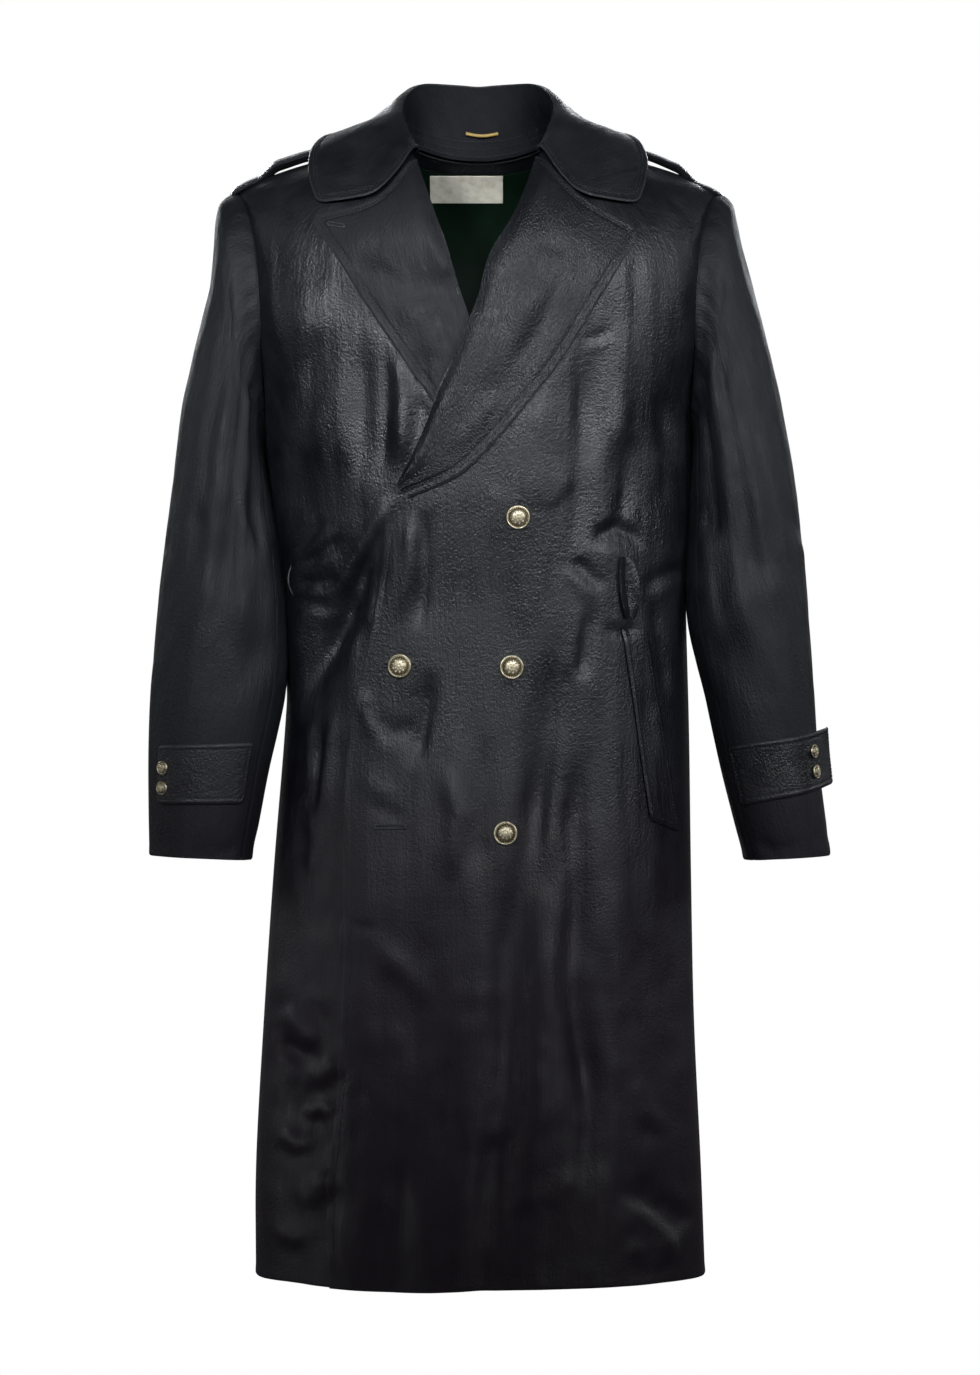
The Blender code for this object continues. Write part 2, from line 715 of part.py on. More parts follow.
def neck_seam(share):
    # The neck seam from the middle of the back, over the shoulder, to the gorge on the left front.
    if share <= BACK_SHARE:
        x = NECK_X * math.sin(math.pi / 2 * share / BACK_SHARE)
        z = lerp(BACK_NECK_Z, SHOULDER[0].z, (x / NECK_X) ** 2)
        return body_point(facing_angle(x, z, BACK), z)
    z = lerp(SHOULDER[0].z, GORGE_Z, ((share - BACK_SHARE) / (1 - BACK_SHARE)) ** 1.5)
    x = smooth(column(FRONT_EDGE, "z"), column(FRONT_EDGE, "left"), z)
    return body_point(facing_angle(x, z, FRONT), z)


def collar_stations():
    # Shares of the half collar from the right gorge, round the back, to the left gorge.
    steps = range(-COLLAR_STATIONS, COLLAR_STATIONS + 1)
    return [(abs(step) / COLLAR_STATIONS, 1 if step >= 0 else -1) for step in steps]


def collar_curve(name, share, mirror):
    point = smooth(column(COLLAR, "share"), [Vector(getattr(row, name)) for row in COLLAR], share)
    return Vector((point.x * mirror, point.y, point.z))


def collar_stand(name):
    outer = [[] for _ in range(STAND_ROWS + 1)]
    for share, mirror in collar_stations():
        seam = neck_seam(share)
        foot = Vector((seam.x * mirror, seam.y, seam.z + 3 * SEAM))
        fold = collar_curve("fold", share, mirror)
        fold.z = max(fold.z, foot.z + 3)
        for row in range(STAND_ROWS + 1):
            outer[row].append(lerp(foot, fold, row / STAND_ROWS))
    normals = [[Vector((0, 0, 0)) - n for n in row] for row in grid_normals(outer)]
    inner = shifted(outer, normals, -STAND_CLOTH)
    return wall(name, outer, inner, shell_cloth)


def collar_fall(name):
    outer = [[] for _ in FALL_SHARES]
    for share, mirror in collar_stations():
        fold = collar_curve("fold", share, mirror)
        fold.z = max(fold.z, neck_seam(share).z + 3 + 3 * SEAM) + CLOTH + 4 * SEAM
        mid = collar_curve("mid", share, mirror)
        edge = collar_curve("edge", share, mirror)
        nose = fold + Vector((mid.x - fold.x, mid.y - fold.y, 0)).normalized() * FOLD_NOSE
        for row, across in enumerate(FALL_SHARES):
            outer[row].append(smooth((0.0, 0.1, 0.5, 1.0), (fold, nose, mid, edge), across))
    normals = grid_normals(outer)
    inner = shifted(outer, normals, -CLOTH)
    return wall(name, outer, inner, shell_cloth)


# Straps, welt and loops

def sleeve_strap(name, strap):
    outer = [[] for _ in range(STRAP_ROWS + 1)]
    inner = [[] for _ in range(STRAP_ROWS + 1)]
    ends = [math.radians(strap.inner_turn), math.radians(strap.free_turn)]
    turns = [ends[0]] + [turn for turn in SLEEVES[strap.side][2] if ends[0] < turn < ends[1]] + [ends[1]]
    for turn in turns:
        share = (turn - ends[0]) / (ends[1] - ends[0])
        width = lerp(strap.inner_width, strap.free_width, share)
        flare = strap.flare * ease(0.75, 1.0, share)
        for row in range(STRAP_ROWS + 1):
            z = lerp(strap.inner_z, strap.free_z, share) + width * (row / STRAP_ROWS - 0.5)
            low = LAID + flare
            inner[row].append(sleeve_surface(strap.side, turn, z, low)[0])
            outer[row].append(sleeve_surface(strap.side, turn, z, low + DOUBLED)[0])
    return wall(name, outer, inner, shell_cloth)


def epaulette(name, body_side):
    across = (-1.0, -0.5, 0.0, 0.5, 1.0)
    outer = []
    for row in EPAULETTE:
        top = row.left if body_side == LEFT else row.right
        outer.append([])
        for share in across:
            z = top - EPAULETTE_CROWN[body_side] * share * share
            outer[-1].append(Vector((row.x * body_side, EPAULETTE_Y + row.half_width * share, z)))
    normals = grid_normals(outer)
    upward = 1 if normals[1][2].z > 0 else -1
    inner = shifted(outer, normals, -DOUBLED * upward)
    return wall(name, outer, inner, shell_cloth)


def pocket_welt(name):
    outer = []
    inner = []
    for row in range(WELT_ROWS + 1):
        down = row / WELT_ROWS
        outer.append([])
        inner.append([])
        for step in range(WELT_COLUMNS + 1):
            over = step / WELT_COLUMNS
            ends = [lerp(Vector(pair[0]), Vector(pair[1]), over) for pair in (WELT_TOP, WELT_BOTTOM)]
            x, z = lerp(ends[0], ends[1], down)
            angle = facing_angle(x, z, FRONT)
            lift = over_lift(x, z) + WELT_GAP
            outer[-1].append(body_point(angle, z, lift + DOUBLED))
            inner[-1].append(body_point(angle, z, lift))
    return wall(name, outer, inner, shell_cloth)


def cloth_loop(name):
    outer = []
    inner = []
    for row in range(LOOP_ROWS + 1):
        share = row / LOOP_ROWS
        middle = lerp(Vector(LOOP_TOP), Vector(LOOP_BOTTOM), share)
        stand = LOOP_GAP + LOOP_STAND * math.sin(math.pi * share) ** 0.6
        outer.append([])
        inner.append([])
        for side in (-0.5, 0.0, 0.5):
            x = middle.x + LOOP_WIDTH * side
            angle = facing_angle(x, middle.y, FRONT)
            lift = over_lift(x, middle.y) + stand
            outer[-1].append(body_point(angle, middle.y, lift + DOUBLED))
            inner[-1].append(body_point(angle, middle.y, lift))
    return wall(name, outer, inner, shell_cloth)


def thread_tube(name, points, radius, surface):
    curve = bpy.data.curves.new(name, "CURVE")
    curve.dimensions = "3D"
    curve.bevel_depth = radius * MM
    curve.bevel_resolution = 2
    curve.use_fill_caps = True
    line = curve.splines.new("POLY")
    line.points.add(len(points) - 1)
    for spot, point in zip(line.points, points):
        spot.co = (*(point * MM), 1.0)
    curve.materials.append(surface)
    piece = bpy.data.objects.new(name, curve)
    piece.parent = coat
    bpy.context.scene.collection.objects.link(piece)
    return piece


def thread_loop(name):
    angle = math.radians(THREAD_TURN)
    points = []
    for step in range(THREAD_POINTS + 1):
        share = step / THREAD_POINTS
        z = lerp(THREAD_TOP, THREAD_BOTTOM, share)
        lift = under_lift(body_base(angle, z).x, z) + THREAD_R + LAID + THREAD_STAND * math.sin(math.pi * share)
        points.append(body_point(angle, z, lift))
    return thread_tube(name, points, THREAD_R, loop_thread)


# Inside the neck

def inside_patch(name, xs, zs, depth, thickness, surface):
    outer = []
    inner = []
    for z in zs:
        outer.append([])
        inner.append([])
        for x in xs:
            angle = facing_angle(x, z, BACK)
            outer[-1].append(body_point(angle, z, -depth))
            inner[-1].append(body_point(angle, z, -depth - thickness))
    return wall(name, outer, inner, surface)


def back_lining(name):
    # The back's own points, moved in, from below the armpits to just short of the neck seam.
    rows = [row[LINING_SIDE_COLUMNS:-LINING_SIDE_COLUMNS] for row in BACK_GRID[LINING_LOW_ROW:-1]]
    outer = [[body_point(turn, z, -CLOTH - LAID) for turn, z in row] for row in rows]
    inner = [[body_point(turn, z, -CLOTH - LAID - LINING) for turn, z in row] for row in rows]
    return wall(name, outer, inner, lining_cloth)


def neck_label(name):
    xs = [LABEL_MIDDLE[0] + LABEL_SIZE[0] * (step / 6 - 0.5) for step in range(7)]
    zs = [LABEL_MIDDLE[1] + LABEL_SIZE[1] * (step / 4 - 0.5) for step in range(5)]
    return inside_patch(name, xs, zs, CLOTH + LAID + LINING + LABEL_GAP, LABEL, label_cloth)


def hanger_loop(name):
    # A short cord across the inside of the stand, held at both ends.
    foot = neck_seam(0.0)
    fold = collar_curve("fold", 0.0, 1)
    share = (HANGER_MIDDLE[1] - foot.z) / (fold.z - foot.z)
    points = []
    for step in range(HANGER_POINTS):
        over = step / (HANGER_POINTS - 1)
        x = HANGER_MIDDLE[0] + HANGER_HALF * (2 * over - 1)
        part = smooth((0.0, 32.0, 56.0), (0.0, 0.15, 0.32), abs(x))
        spot = lerp(neck_seam(part), collar_curve("fold", part, 1), share)
        stand = STAND_CLOTH + HANGER_R + HANGER_GAP + HANGER_STAND * math.sin(math.pi * over)
        points.append(Vector((x, spot.y - stand, HANGER_MIDDLE[1] - 3 * math.sin(math.pi * over))))
    return thread_tube(name, points, HANGER_R, hanger_cord)


# Buttons

def button(name, seat, normal, radius):
    across = normal.orthogonal().normalized()
    upward = normal.cross(across)
    bm = bmesh.new()
    foot = bm.verts.new(seat * MM)
    rings = []
    for share, height in BUTTON_PROFILE:
        ring = []
        for side in range(BUTTON_SIDES):
            turn = 2 * math.pi * side / BUTTON_SIDES
            spoke = across * math.cos(turn) + upward * math.sin(turn)
            ring.append(bm.verts.new((seat + spoke * share * radius + normal * height * radius) * MM))
        rings.append(ring)
    crown = bm.verts.new((seat + normal * BUTTON_CROWN * radius) * MM)
    for side in range(BUTTON_SIDES):
        after = (side + 1) % BUTTON_SIDES
        bm.faces.new((foot, rings[0][side], rings[0][after]))
        bm.faces.new((crown, rings[-1][after], rings[-1][side]))
        for low, high in zip(rings, rings[1:]):
            bm.faces.new((low[side], high[side], high[after], low[after]))
    return finish(name, bm, button_brass)


def front_button(name, panel, x, z):
    # The seat is where a line along the body's normal meets the finished panel.
    angle = facing_angle(x, z, FRONT)
    normal = body_normal(angle, z)
    start = body_point(angle, z, over_lift(x, z) + FRONT_BUTTON_R)
    _, seat, _, _ = panel.ray_cast(start * MM, -normal)
    return button(name, seat / MM + normal * BUTTON_GAP, normal, FRONT_BUTTON_R)


def sleeve_button(name, body_side, z):
    turn = math.radians(SLEEVE_BUTTON_TURNS[body_side])
    seat, normal = sleeve_surface(body_side, turn, z, LAID + DOUBLED + BUTTON_GAP)
    strap = next(strap for strap in STRAPS if strap.side == body_side)
    share = (math.degrees(turn) - strap.inner_turn) / (strap.free_turn - strap.inner_turn)
    return button(name, seat + normal * strap.flare * ease(0.75, 1.0, share), normal, SLEEVE_BUTTON_R)


coat = bpy.data.objects.new("raincoat", None)
bpy.context.scene.collection.objects.link(coat)

shell_cloth = material("coated cotton", (0.012, 0.013, 0.020), 0.42)
lining_cloth = material("green lining", (0.012, 0.030, 0.020), 0.70)
label_cloth = material("label cloth", (0.60, 0.55, 0.42), 0.80)
loop_thread = material("black thread", (0.015, 0.015, 0.020), 0.70)
hanger_cord = material("gold cord", (0.55, 0.38, 0.12), 0.45, 0.4)
button_brass = material("brass", (0.72, 0.50, 0.18), 0.28, 1.0)

left_front = front_panel(LEFT, "front_left")
front_panel(RIGHT, "front_right")
BACK_GRID = back_grid()
back_panel("back")

SLEEVES = {side: sleeve_grid(side) for side in (LEFT, RIGHT)}
AROUND = 2 * ARMHOLE_ROWS
top_columns = list(range(FRONT_SEAM, AROUND - BACK_SEAM + 1))
under_columns = [c % AROUND for c in range(AROUND - BACK_SEAM, AROUND + FRONT_SEAM + 1)]
for side, word in ((LEFT, "left"), (RIGHT, "right")):
    sleeve_piece("sleeve_top_" + word, side, top_columns)
    sleeve_piece("sleeve_under_" + word, side, under_columns)
    epaulette("epaulette_" + word, side)

lapel("lapel_left", LAPEL_LEFT, LEFT)
lapel("lapel_right", LAPEL_RIGHT, RIGHT)
collar_stand("collar_stand")
collar_fall("collar_fall")

for strap, word in zip(STRAPS, ("left", "right")):
    sleeve_strap("sleeve_strap_" + word, strap)
pocket_welt("pocket_welt_left")
cloth_loop("belt_loop_left")
thread_loop("belt_loop_right")

back_lining("lining_back")
neck_label("label")
hanger_loop("hanger_loop")

bpy.context.view_layer.update()
for number, (x, z) in enumerate(FRONT_BUTTONS, 1):
    front_button("front_button_%d" % number, left_front, x, z)
sleeve_seats = [(side, z) for side in (LEFT, RIGHT) for z in SLEEVE_BUTTON_HEIGHTS[side]]
for number, (side, z) in enumerate(sleeve_seats, 1):
    sleeve_button("sleeve_button_%d" % number, side, z)
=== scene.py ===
import math

import bmesh
import bpy
import numpy as np
from mathutils import Matrix, Vector, noise
from mathutils.bvhtree import BVHTree


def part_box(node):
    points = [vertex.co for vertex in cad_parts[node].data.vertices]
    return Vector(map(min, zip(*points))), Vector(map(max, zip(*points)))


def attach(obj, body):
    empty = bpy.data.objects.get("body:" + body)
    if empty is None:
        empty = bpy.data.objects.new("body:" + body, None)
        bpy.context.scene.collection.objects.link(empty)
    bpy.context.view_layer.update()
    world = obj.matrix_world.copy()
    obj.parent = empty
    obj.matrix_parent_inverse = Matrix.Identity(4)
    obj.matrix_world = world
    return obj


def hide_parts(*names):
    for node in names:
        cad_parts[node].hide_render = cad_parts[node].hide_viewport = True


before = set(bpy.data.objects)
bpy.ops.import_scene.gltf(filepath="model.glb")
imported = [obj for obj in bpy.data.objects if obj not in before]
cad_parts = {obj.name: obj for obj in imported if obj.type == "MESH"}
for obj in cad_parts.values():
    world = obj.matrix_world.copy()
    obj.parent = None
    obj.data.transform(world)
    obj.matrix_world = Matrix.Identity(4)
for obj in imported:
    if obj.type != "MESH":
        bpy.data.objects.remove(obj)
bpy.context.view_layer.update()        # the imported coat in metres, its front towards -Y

mm = 0.001
print("coat: frame loaded,", len(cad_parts), "solids")


def hexColour(code):
    # sRGB hex to the linear colour that shaders take
    parts = [int(code[i:i + 2], 16) / 255 for i in (1, 3, 5)]
    return tuple(c / 12.92 if c <= 0.04045 else ((c + 0.055) / 1.055) ** 2.4 for c in parts) + (1.0,)


def join(tree, node, links):
    # gives each named input of a node a socket to read or a value
    for name, value in links.items():
        if isinstance(value, bpy.types.NodeSocket):
            tree.links.new(value, node.inputs[name])
        else:
            node.inputs[name].default_value = value
    return node


def addNode(tree, kind, links=None, **settings):
    node = tree.nodes.new(kind)
    for name, value in settings.items():
        setattr(node, name, value)
    return join(tree, node, links or {})


def newMaterial(name):
    made = bpy.data.materials.new(name)
    made.use_nodes = True
    return made, made.node_tree, made.node_tree.nodes["Principled BSDF"]


def ease(low, high, value):
    share = np.clip((value - low) / (high - low), 0, 1)
    return share * share * (3 - 2 * share)


# Materials

coatLook = {
    "fresh": "#0c0e13", "worn": "#17191e", "dull": "#1b101e", "grey": "#5a575c", "crackle": 5.0,
    # width, length and detail of each pattern
    "clouds": {"streak": (7.0, 110, 3.0), "fine": (2.4, 30, 3.0), "crinkle": (3.4, 5.44, 4.0),
               "grain": (1.9, 2.47, 1.0), "mottle": (13, 26, 4.0), "patch": (55, 55, 5.0)},
}


def coatedCotton(name, extraRough, ior, speckle):
    # cotton under a waxy black coat: satin streaks along the warp, a fine crackle, dull where it is rubbed
    made, tree, shader = newMaterial(name)
    cut = addNode(tree, "ShaderNodeUVMap", uv_map="cut").outputs["UV"]
    place = addNode(tree, "ShaderNodeTexCoord").outputs["Object"]
    cloud, share = {}, {}
    for key, (across, along, detail) in coatLook["clouds"].items():
        size = (1 / (across * mm), 1 / (along * mm), 1 / (across * mm))
        sized = addNode(tree, "ShaderNodeMapping", {"Vector": place if key == "patch" else cut, "Scale": size})
        cloud[key] = addNode(tree, "ShaderNodeTexNoise", {
            "Vector": sized.outputs[0], "Scale": 1.0, "Detail": detail, "Roughness": 0.6}).outputs["Fac"]
    crackle = addNode(tree, "ShaderNodeTexVoronoi", {
        "Vector": cut, "Scale": 1 / (coatLook["crackle"] * mm), "Randomness": 1.0}, feature="DISTANCE_TO_EDGE")
    height = addNode(tree, "ShaderNodeSeparateXYZ", {"Vector": place}).outputs["Z"]
    ranges = {"split": (crackle.outputs["Distance"], 0.0, 0.1, 0.0, 1.0),
              "rubbed": (cloud["patch"], 0.36, 0.72, 0.0, 1.0),
              "low": (height, -0.56, -0.86, 0.0, 1.0),       # the skirt has lost more of its wax than the chest
              "strength": (height, -0.56, -0.86, 1.0, 0.6),
              "satin": (cloud["fine"], 0.32, 0.7, 0.15 + extraRough, 0.27 + extraRough)}
    for key, (value, low, high, least, most) in ranges.items():
        share[key] = addNode(tree, "ShaderNodeMapRange", {
            "Value": value, "From Min": low, "From Max": high, "To Min": least, "To Max": most}).outputs[0]
    # the wear attribute greys the cloth: wear on rubbed edges, and along crease crests partly a painted
    # highlight
    wearAndCreaseHighlight = addNode(tree, "ShaderNodeAttribute", attribute_name="wearAndCreaseHighlight").outputs["Fac"]
    wearAndCreaseHighlight = addNode(tree, "ShaderNodeMath", {0: wearAndCreaseHighlight, 1: cloud["crinkle"]}, operation="MULTIPLY").outputs[0]
    tone = hexColour(coatLook["fresh"])
    for amount, over in ((share["rubbed"], "worn"), (share["low"], "dull"), (wearAndCreaseHighlight, "grey")):
        tone = addNode(tree, "ShaderNodeMix", {0: amount, 6: tone, 7: hexColour(coatLook[over])},
                       data_type="RGBA").outputs[2]
    sums = {"rough": (share["satin"], ((share["rubbed"], 0.2), (share["low"], 0.14), (cloud["mottle"], 0.26))),
            "relief": (0.0, ((cloud["crinkle"], 1.5), (cloud["fine"], 0.45), (cloud["grain"], speckle),
                             (share["split"], 0.16), (cloud["streak"], 1.5)))}
    for key, (total, terms) in sums.items():
        for value, weight in terms:
            total = addNode(tree, "ShaderNodeMath", {0: value, 1: weight, 2: total},
                            operation="MULTIPLY_ADD").outputs[0]
        share[key] = total
    bump = addNode(tree, "ShaderNodeBump", {
        "Height": share["relief"], "Strength": share["strength"], "Distance": 0.44 * mm})
    join(tree, shader, {"Base Color": tone, "Roughness": share["rough"], "Normal": bump.outputs[0], "IOR": ior})
    return made


# woven rayon lining: soft green satin with a fine cross rib, its greens darkened almost to black as painted
# shade for the inside of the coat
liningLook = {"thread": "#020c07", "shade": "#072214", "pitch": 1.2, "waver": 2.0, "turns": 2.0, "blotch": 30,
              "blotchDetail": 3.0, "shows": (0.0, 1.0, 1.0), "depth": 0.2, "roughness": 0.65, "ior": 1.25}
# cream damask label: close satin picks, plain and a little soiled
labelLook = {"thread": "#f6f2e2", "shade": "#c9bf9c", "pitch": 0.9, "waver": 1.5, "turns": 1.0, "blotch": 9,
             "blotchDetail": 4.0, "shows": (0.42, 0.78, 0.7), "depth": 0.4, "roughness": 0.6, "ior": 1.5}


def ribbedWeave(name, look):
    made, tree, shader = newMaterial(name)
    cut = addNode(tree, "ShaderNodeUVMap", uv_map="cut").outputs["UV"]
    rib = addNode(tree, "ShaderNodeTexWave", {
        "Vector": cut, "Scale": 1 / (look["pitch"] * 6.28 * mm), "Distortion": look["waver"],
        "Detail": look["turns"]}, bands_direction="Y")
    blotch = addNode(tree, "ShaderNodeTexNoise", {
        "Vector": cut, "Scale": 1 / (look["blotch"] * mm), "Detail": look["blotchDetail"]})
    low, high, most = look["shows"]
    share = addNode(tree, "ShaderNodeMapRange", {
        "Value": blotch.outputs["Fac"], "From Min": low, "From Max": high, "To Max": most})
    tone = addNode(tree, "ShaderNodeMix", {
        0: share.outputs[0], 6: hexColour(look["thread"]), 7: hexColour(look["shade"])}, data_type="RGBA")
    bump = addNode(tree, "ShaderNodeBump", {
        "Height": rib.outputs["Fac"], "Strength": look["depth"], "Distance": 0.2 * mm})
    join(tree, shader, {"Base Color": tone.outputs[2], "Normal": bump.outputs[0],
                        "Roughness": look["roughness"], "IOR": look["ior"]})
    return made


def spunThread(name, dark, light, roughness):
    # twisted thread: light on the turns, darker between the strands
    made, tree, shader = newMaterial(name)
    place = addNode(tree, "ShaderNodeTexCoord").outputs["Object"]
    fibre = addNode(tree, "ShaderNodeTexNoise", {
        "Vector": place, "Scale": 1 / (0.8 * mm), "Detail": 3.0}).outputs["Fac"]
    tone = addNode(tree, "ShaderNodeMix", {0: fibre, 6: hexColour(dark), 7: hexColour(light)}, data_type="RGBA")
    bump = addNode(tree, "ShaderNodeBump", {"Height": fibre, "Strength": 0.5, "Distance": 0.1 * mm})
    join(tree, shader, {"Base Color": tone.outputs[2], "Normal": bump.outputs[0], "Roughness": roughness})
    return made


brassLook = {"metal": "#efe4c6", "tarnish": "#4a3c22", "grit": 0.9}


def stampedBrass():
    # stamped and lacquered brass: bright on the raised work, brown tarnish held in the hollows
    made, tree, shader = newMaterial("stamped brass")
    hollow = addNode(tree, "ShaderNodeAttribute", attribute_name="hollow").outputs["Fac"]
    place = addNode(tree, "ShaderNodeTexCoord").outputs["Object"]
    grit = addNode(tree, "ShaderNodeTexNoise", {
        "Vector": place, "Scale": 1 / (brassLook["grit"] * mm), "Detail": 3.0}).outputs["Fac"]
    stain = addNode(tree, "ShaderNodeMath", {0: grit, 1: 0.35, 2: hollow}, operation="MULTIPLY_ADD").outputs[0]
    share = addNode(tree, "ShaderNodeMapRange", {"Value": stain, "From Min": 0.2, "From Max": 1.1})
    rough = addNode(tree, "ShaderNodeMapRange", {
        "Value": stain, "From Min": 0.1, "From Max": 1.1, "To Min": 0.34, "To Max": 0.6})
    tone = addNode(tree, "ShaderNodeMix", {
        0: share.outputs[0], 6: hexColour(brassLook["metal"]), 7: hexColour(brassLook["tarnish"])},
        data_type="RGBA")
    bump = addNode(tree, "ShaderNodeBump", {"Height": grit, "Strength": 0.25, "Distance": 0.15 * mm})
    join(tree, shader, {"Base Color": tone.outputs[2], "Roughness": rough.outputs[0],
                        "Normal": bump.outputs[0], "Metallic": 1.0})
    return made


cottonShell = coatedCotton("coated cotton", 0.0, 1.5, 1.1)
lapelShell = coatedCotton("coated cotton, handled", 0.02, 1.43, 2.4)
rubbedShell = coatedCotton("coated cotton, rubbed", 0.1, 1.46, 1.8)
dullShell = coatedCotton("coated cotton, dull", 0.2, 1.4, 1.0)
mattShell = coatedCotton("coated cotton, matt side", 0.24, 1.3, 1.6)
liningCloth = ribbedWeave("rayon lining", liningLook)
labelCloth = ribbedWeave("woven label", labelLook)
blackThread = spunThread("black polyester thread", "#0c0d10", "#2b2d33", 0.45)
goldCord = spunThread("gold lurex cord", "#8a6a2c", "#e3c67c", 0.38)
buttonBrass = stampedBrass()
print("coat: materials mixed")


# Cloth: the outer side of each solid's wall is read back as rows and columns, drawn finer and creased.
# A plan says how: rows, columns, facing, first corner, way along the first row, step, thickness, and for a
# piece with sewn edges, those edges and the close lines along them.

plainRow = (0, 0.7, 1.6, 3)
overlapRow = plainRow + (6.5, 7.6, 8.8, 11)
singleRow = plainRow + (4.4, 5.4, 6.4, 8)
doubleRow = plainRow + (5.2, 6.2, 7.2, 8.2, 9.2, 10.4, 12)
allRound = ("firstRow", "lastRow", "firstColumn", "lastColumn")
freeEnd = ("firstColumn", "lastColumn", "firstRow")
peak = ("lastColumn", "firstRow")
planKeys = ("rows", "columns", "facing", "corner", "along", "step", "thick", "edges", "lines")
plans = {
    "front_left": (33, 19, (0, -1, 0), (-1, 0, -1), (1, 0, 0), 4.2, 1.4, ("firstColumn",), overlapRow),
    "front_right": (33, 19, (0, -1, 0), (1, 0, -1), (-1, 0, 0), 4.2, 1.4, ("firstColumn",), overlapRow),
    "back": (33, 21, (0, 1, 0), (1, 0, -1), (-0.5, 1, 0), 5.4, 1.4),
    "sleeve_top_left": (22, 15, (1, 0, 0), (-1, 0, -2), (1, -0.5, 0), 4.2, 1.4),
    "sleeve_top_right": (22, 15, (-1, 0, 0), (1, -1, -2), (-1, -0.5, 0), 4.2, 1.4),
    "sleeve_under_left": (22, 7, (-1, 0.3, 0), (1, 1, -2), (-1, 0, 0), 4.2, 1.4),
    "sleeve_under_right": (22, 7, (1, 0.3, 0), (-1, 1, -2), (1, 0, 0), 4.2, 1.4),
    "lapel_left": (9, 9, (0, -1, 0), (-0.3, 0, 1), (1, 0, -0.3), 2.2, 2.2, peak, doubleRow),
    "lapel_right": (9, 9, (0, -1, 0), (0.3, 0, 1), (-1, 0, -0.3), 2.2, 2.2, peak, doubleRow),
    "collar_stand": (5, 29, (0, 1, 0), (-1, -1, -4), (0, 1, 0.3), 2.6, 2.0),
    "collar_fall": (6, 29, (0, 1, 0.3), (-1, -1, -0.5), (-0.2, 1, 0.8), 2.6, 2.2, freeEnd, doubleRow),
    "epaulette_left": (7, 5, (0, 0, 1), (1, -1, -0.3), (0, 1, 0), 1.8, 2.2, freeEnd, singleRow),
    "epaulette_right": (7, 5, (0, 0, 1), (-1, -1, -0.3), (0, 1, 0), 1.8, 2.2, freeEnd, singleRow),
    "sleeve_strap_left": (5, 10, (0.5, -1, 0), (-1, 0, -1), (1, -0.3, 0), 1.8, 2.2, allRound, singleRow),
    "sleeve_strap_right": (5, 7, (-0.5, -1, 0), (1, 0, -1), (-1, -0.3, 0), 1.8, 2.2, allRound, singleRow),
    "pocket_welt_left": (13, 5, (0, -1, 0), (-1, 0, 1), (1, 0, 0), 1.8, 2.2, allRound, singleRow),
    "belt_loop_left": (11, 3, (0, -1, 0), (-1, 0, 1), (1, 0, 0), 1.2, 2.2),
    "lining_back": (12, 17, (0, -1, 0), (1, 0, -1), (-1, 0.5, 0), 7.0, 1.0),
    "label": (5, 7, (0, -1, 0), (-1, 0, -1), (1, 0, 0), 1.6, 0.8),
}


def solidSide(name, plan):
    # walks over the side of a wall that a plan faces, and sorts its points into rows and columns
    bm = bmesh.new()
    bm.from_mesh(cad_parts[name].data)
    bmesh.ops.remove_doubles(bm, verts=bm.verts[:], dist=0.01 * mm)
    bm.normal_update()
    rows, columns = plan["rows"], plan["columns"]
    facing, corner, along = (Vector(plan[key]).normalized() for key in ("facing", "corner", "along"))
    usual = sum(face.calc_area() for face in bm.faces) / len(bm.faces)
    fair = [face for face in bm.faces if face.normal.dot(facing) > 0.7 and face.calc_area() > usual / 2]
    seed = max(fair, key=lambda face: (face.calc_center_median() + face.normal * 20 * mm).dot(facing))
    for bend in (62, 50, 40, 30, 75):          # the side ends where the wall turns over its rim
        side, queue = {seed}, [seed]
        while queue:
            face = queue.pop()
            for other in {f for edge in face.edges for f in edge.link_faces} - side:
                if face.normal.angle(other.normal) < math.radians(bend):
                    side.add(other)
                    queue.append(other)
        if len(side) == 2 * (rows - 1) * (columns - 1):
            break
    else:
        raise ValueError(name + " doesn't have the rows and columns that its plan says")
    beside, rim = {}, {}
    for edge in {edge for face in side for edge in face.edges}:
        outer = sum(face in side for face in edge.link_faces) == 1
        for spot in edge.verts:
            for found in (beside, rim) if outer else (beside,):
                found.setdefault(spot, []).append(edge.other_vert(spot))
    first = max(rim, key=lambda spot: spot.co.dot(corner))
    loop = [first, max(rim[first], key=lambda spot: (spot.co - first.co).normalized().dot(along))]
    while len(loop) < len(rim):
        loop.append(next(spot for spot in rim[loop[-1]] if spot is not loop[-2]))
    grid = [loop[:columns]] + [[loop[-r]] for r in range(1, rows)]
    for r in range(rows - 1):
        for c in range(columns - 1):
            near = set(beside[grid[r][c + 1]]) & set(beside[grid[r + 1][c]])       # both ends of the cell
            grid[r + 1].append(next(spot for spot in near if spot is not grid[r][c]))
    points = np.array([[tuple(spot.co) for spot in row] for row in grid])
    bm.free()
    return points


def walkedLength(points, axis=0):
    # the way walked to each point along a line, or along one axis of a grid
    steps = np.linalg.norm(np.diff(points, axis=axis), axis=-1)
    start = np.zeros_like(np.take(steps, [0], axis=axis))
    return np.concatenate([start, np.cumsum(steps, axis=axis)], axis=axis)


def curveThrough(points, closeness):
    # a smooth surface through rows of points, along the first axis
    keys = walkedLength(points).mean(axis=1)
    at = np.linspace(0, keys[-1], (len(keys) - 1) * closeness + 1)
    slopes = np.gradient(points, keys, axis=0)
    low = np.clip(np.searchsorted(keys, at, side="right") - 1, 0, len(keys) - 2)
    span = (keys[low + 1] - keys[low])[:, None, None]
    t = (at - keys[low])[:, None, None] / span
    start, end = points[low], points[low + 1]
    bend = slopes[low] * t * (1 - t) ** 2 - slopes[low + 1] * t * t * (1 - t)
    return start + (end - start) * t * t * (3 - 2 * t) + bend * span


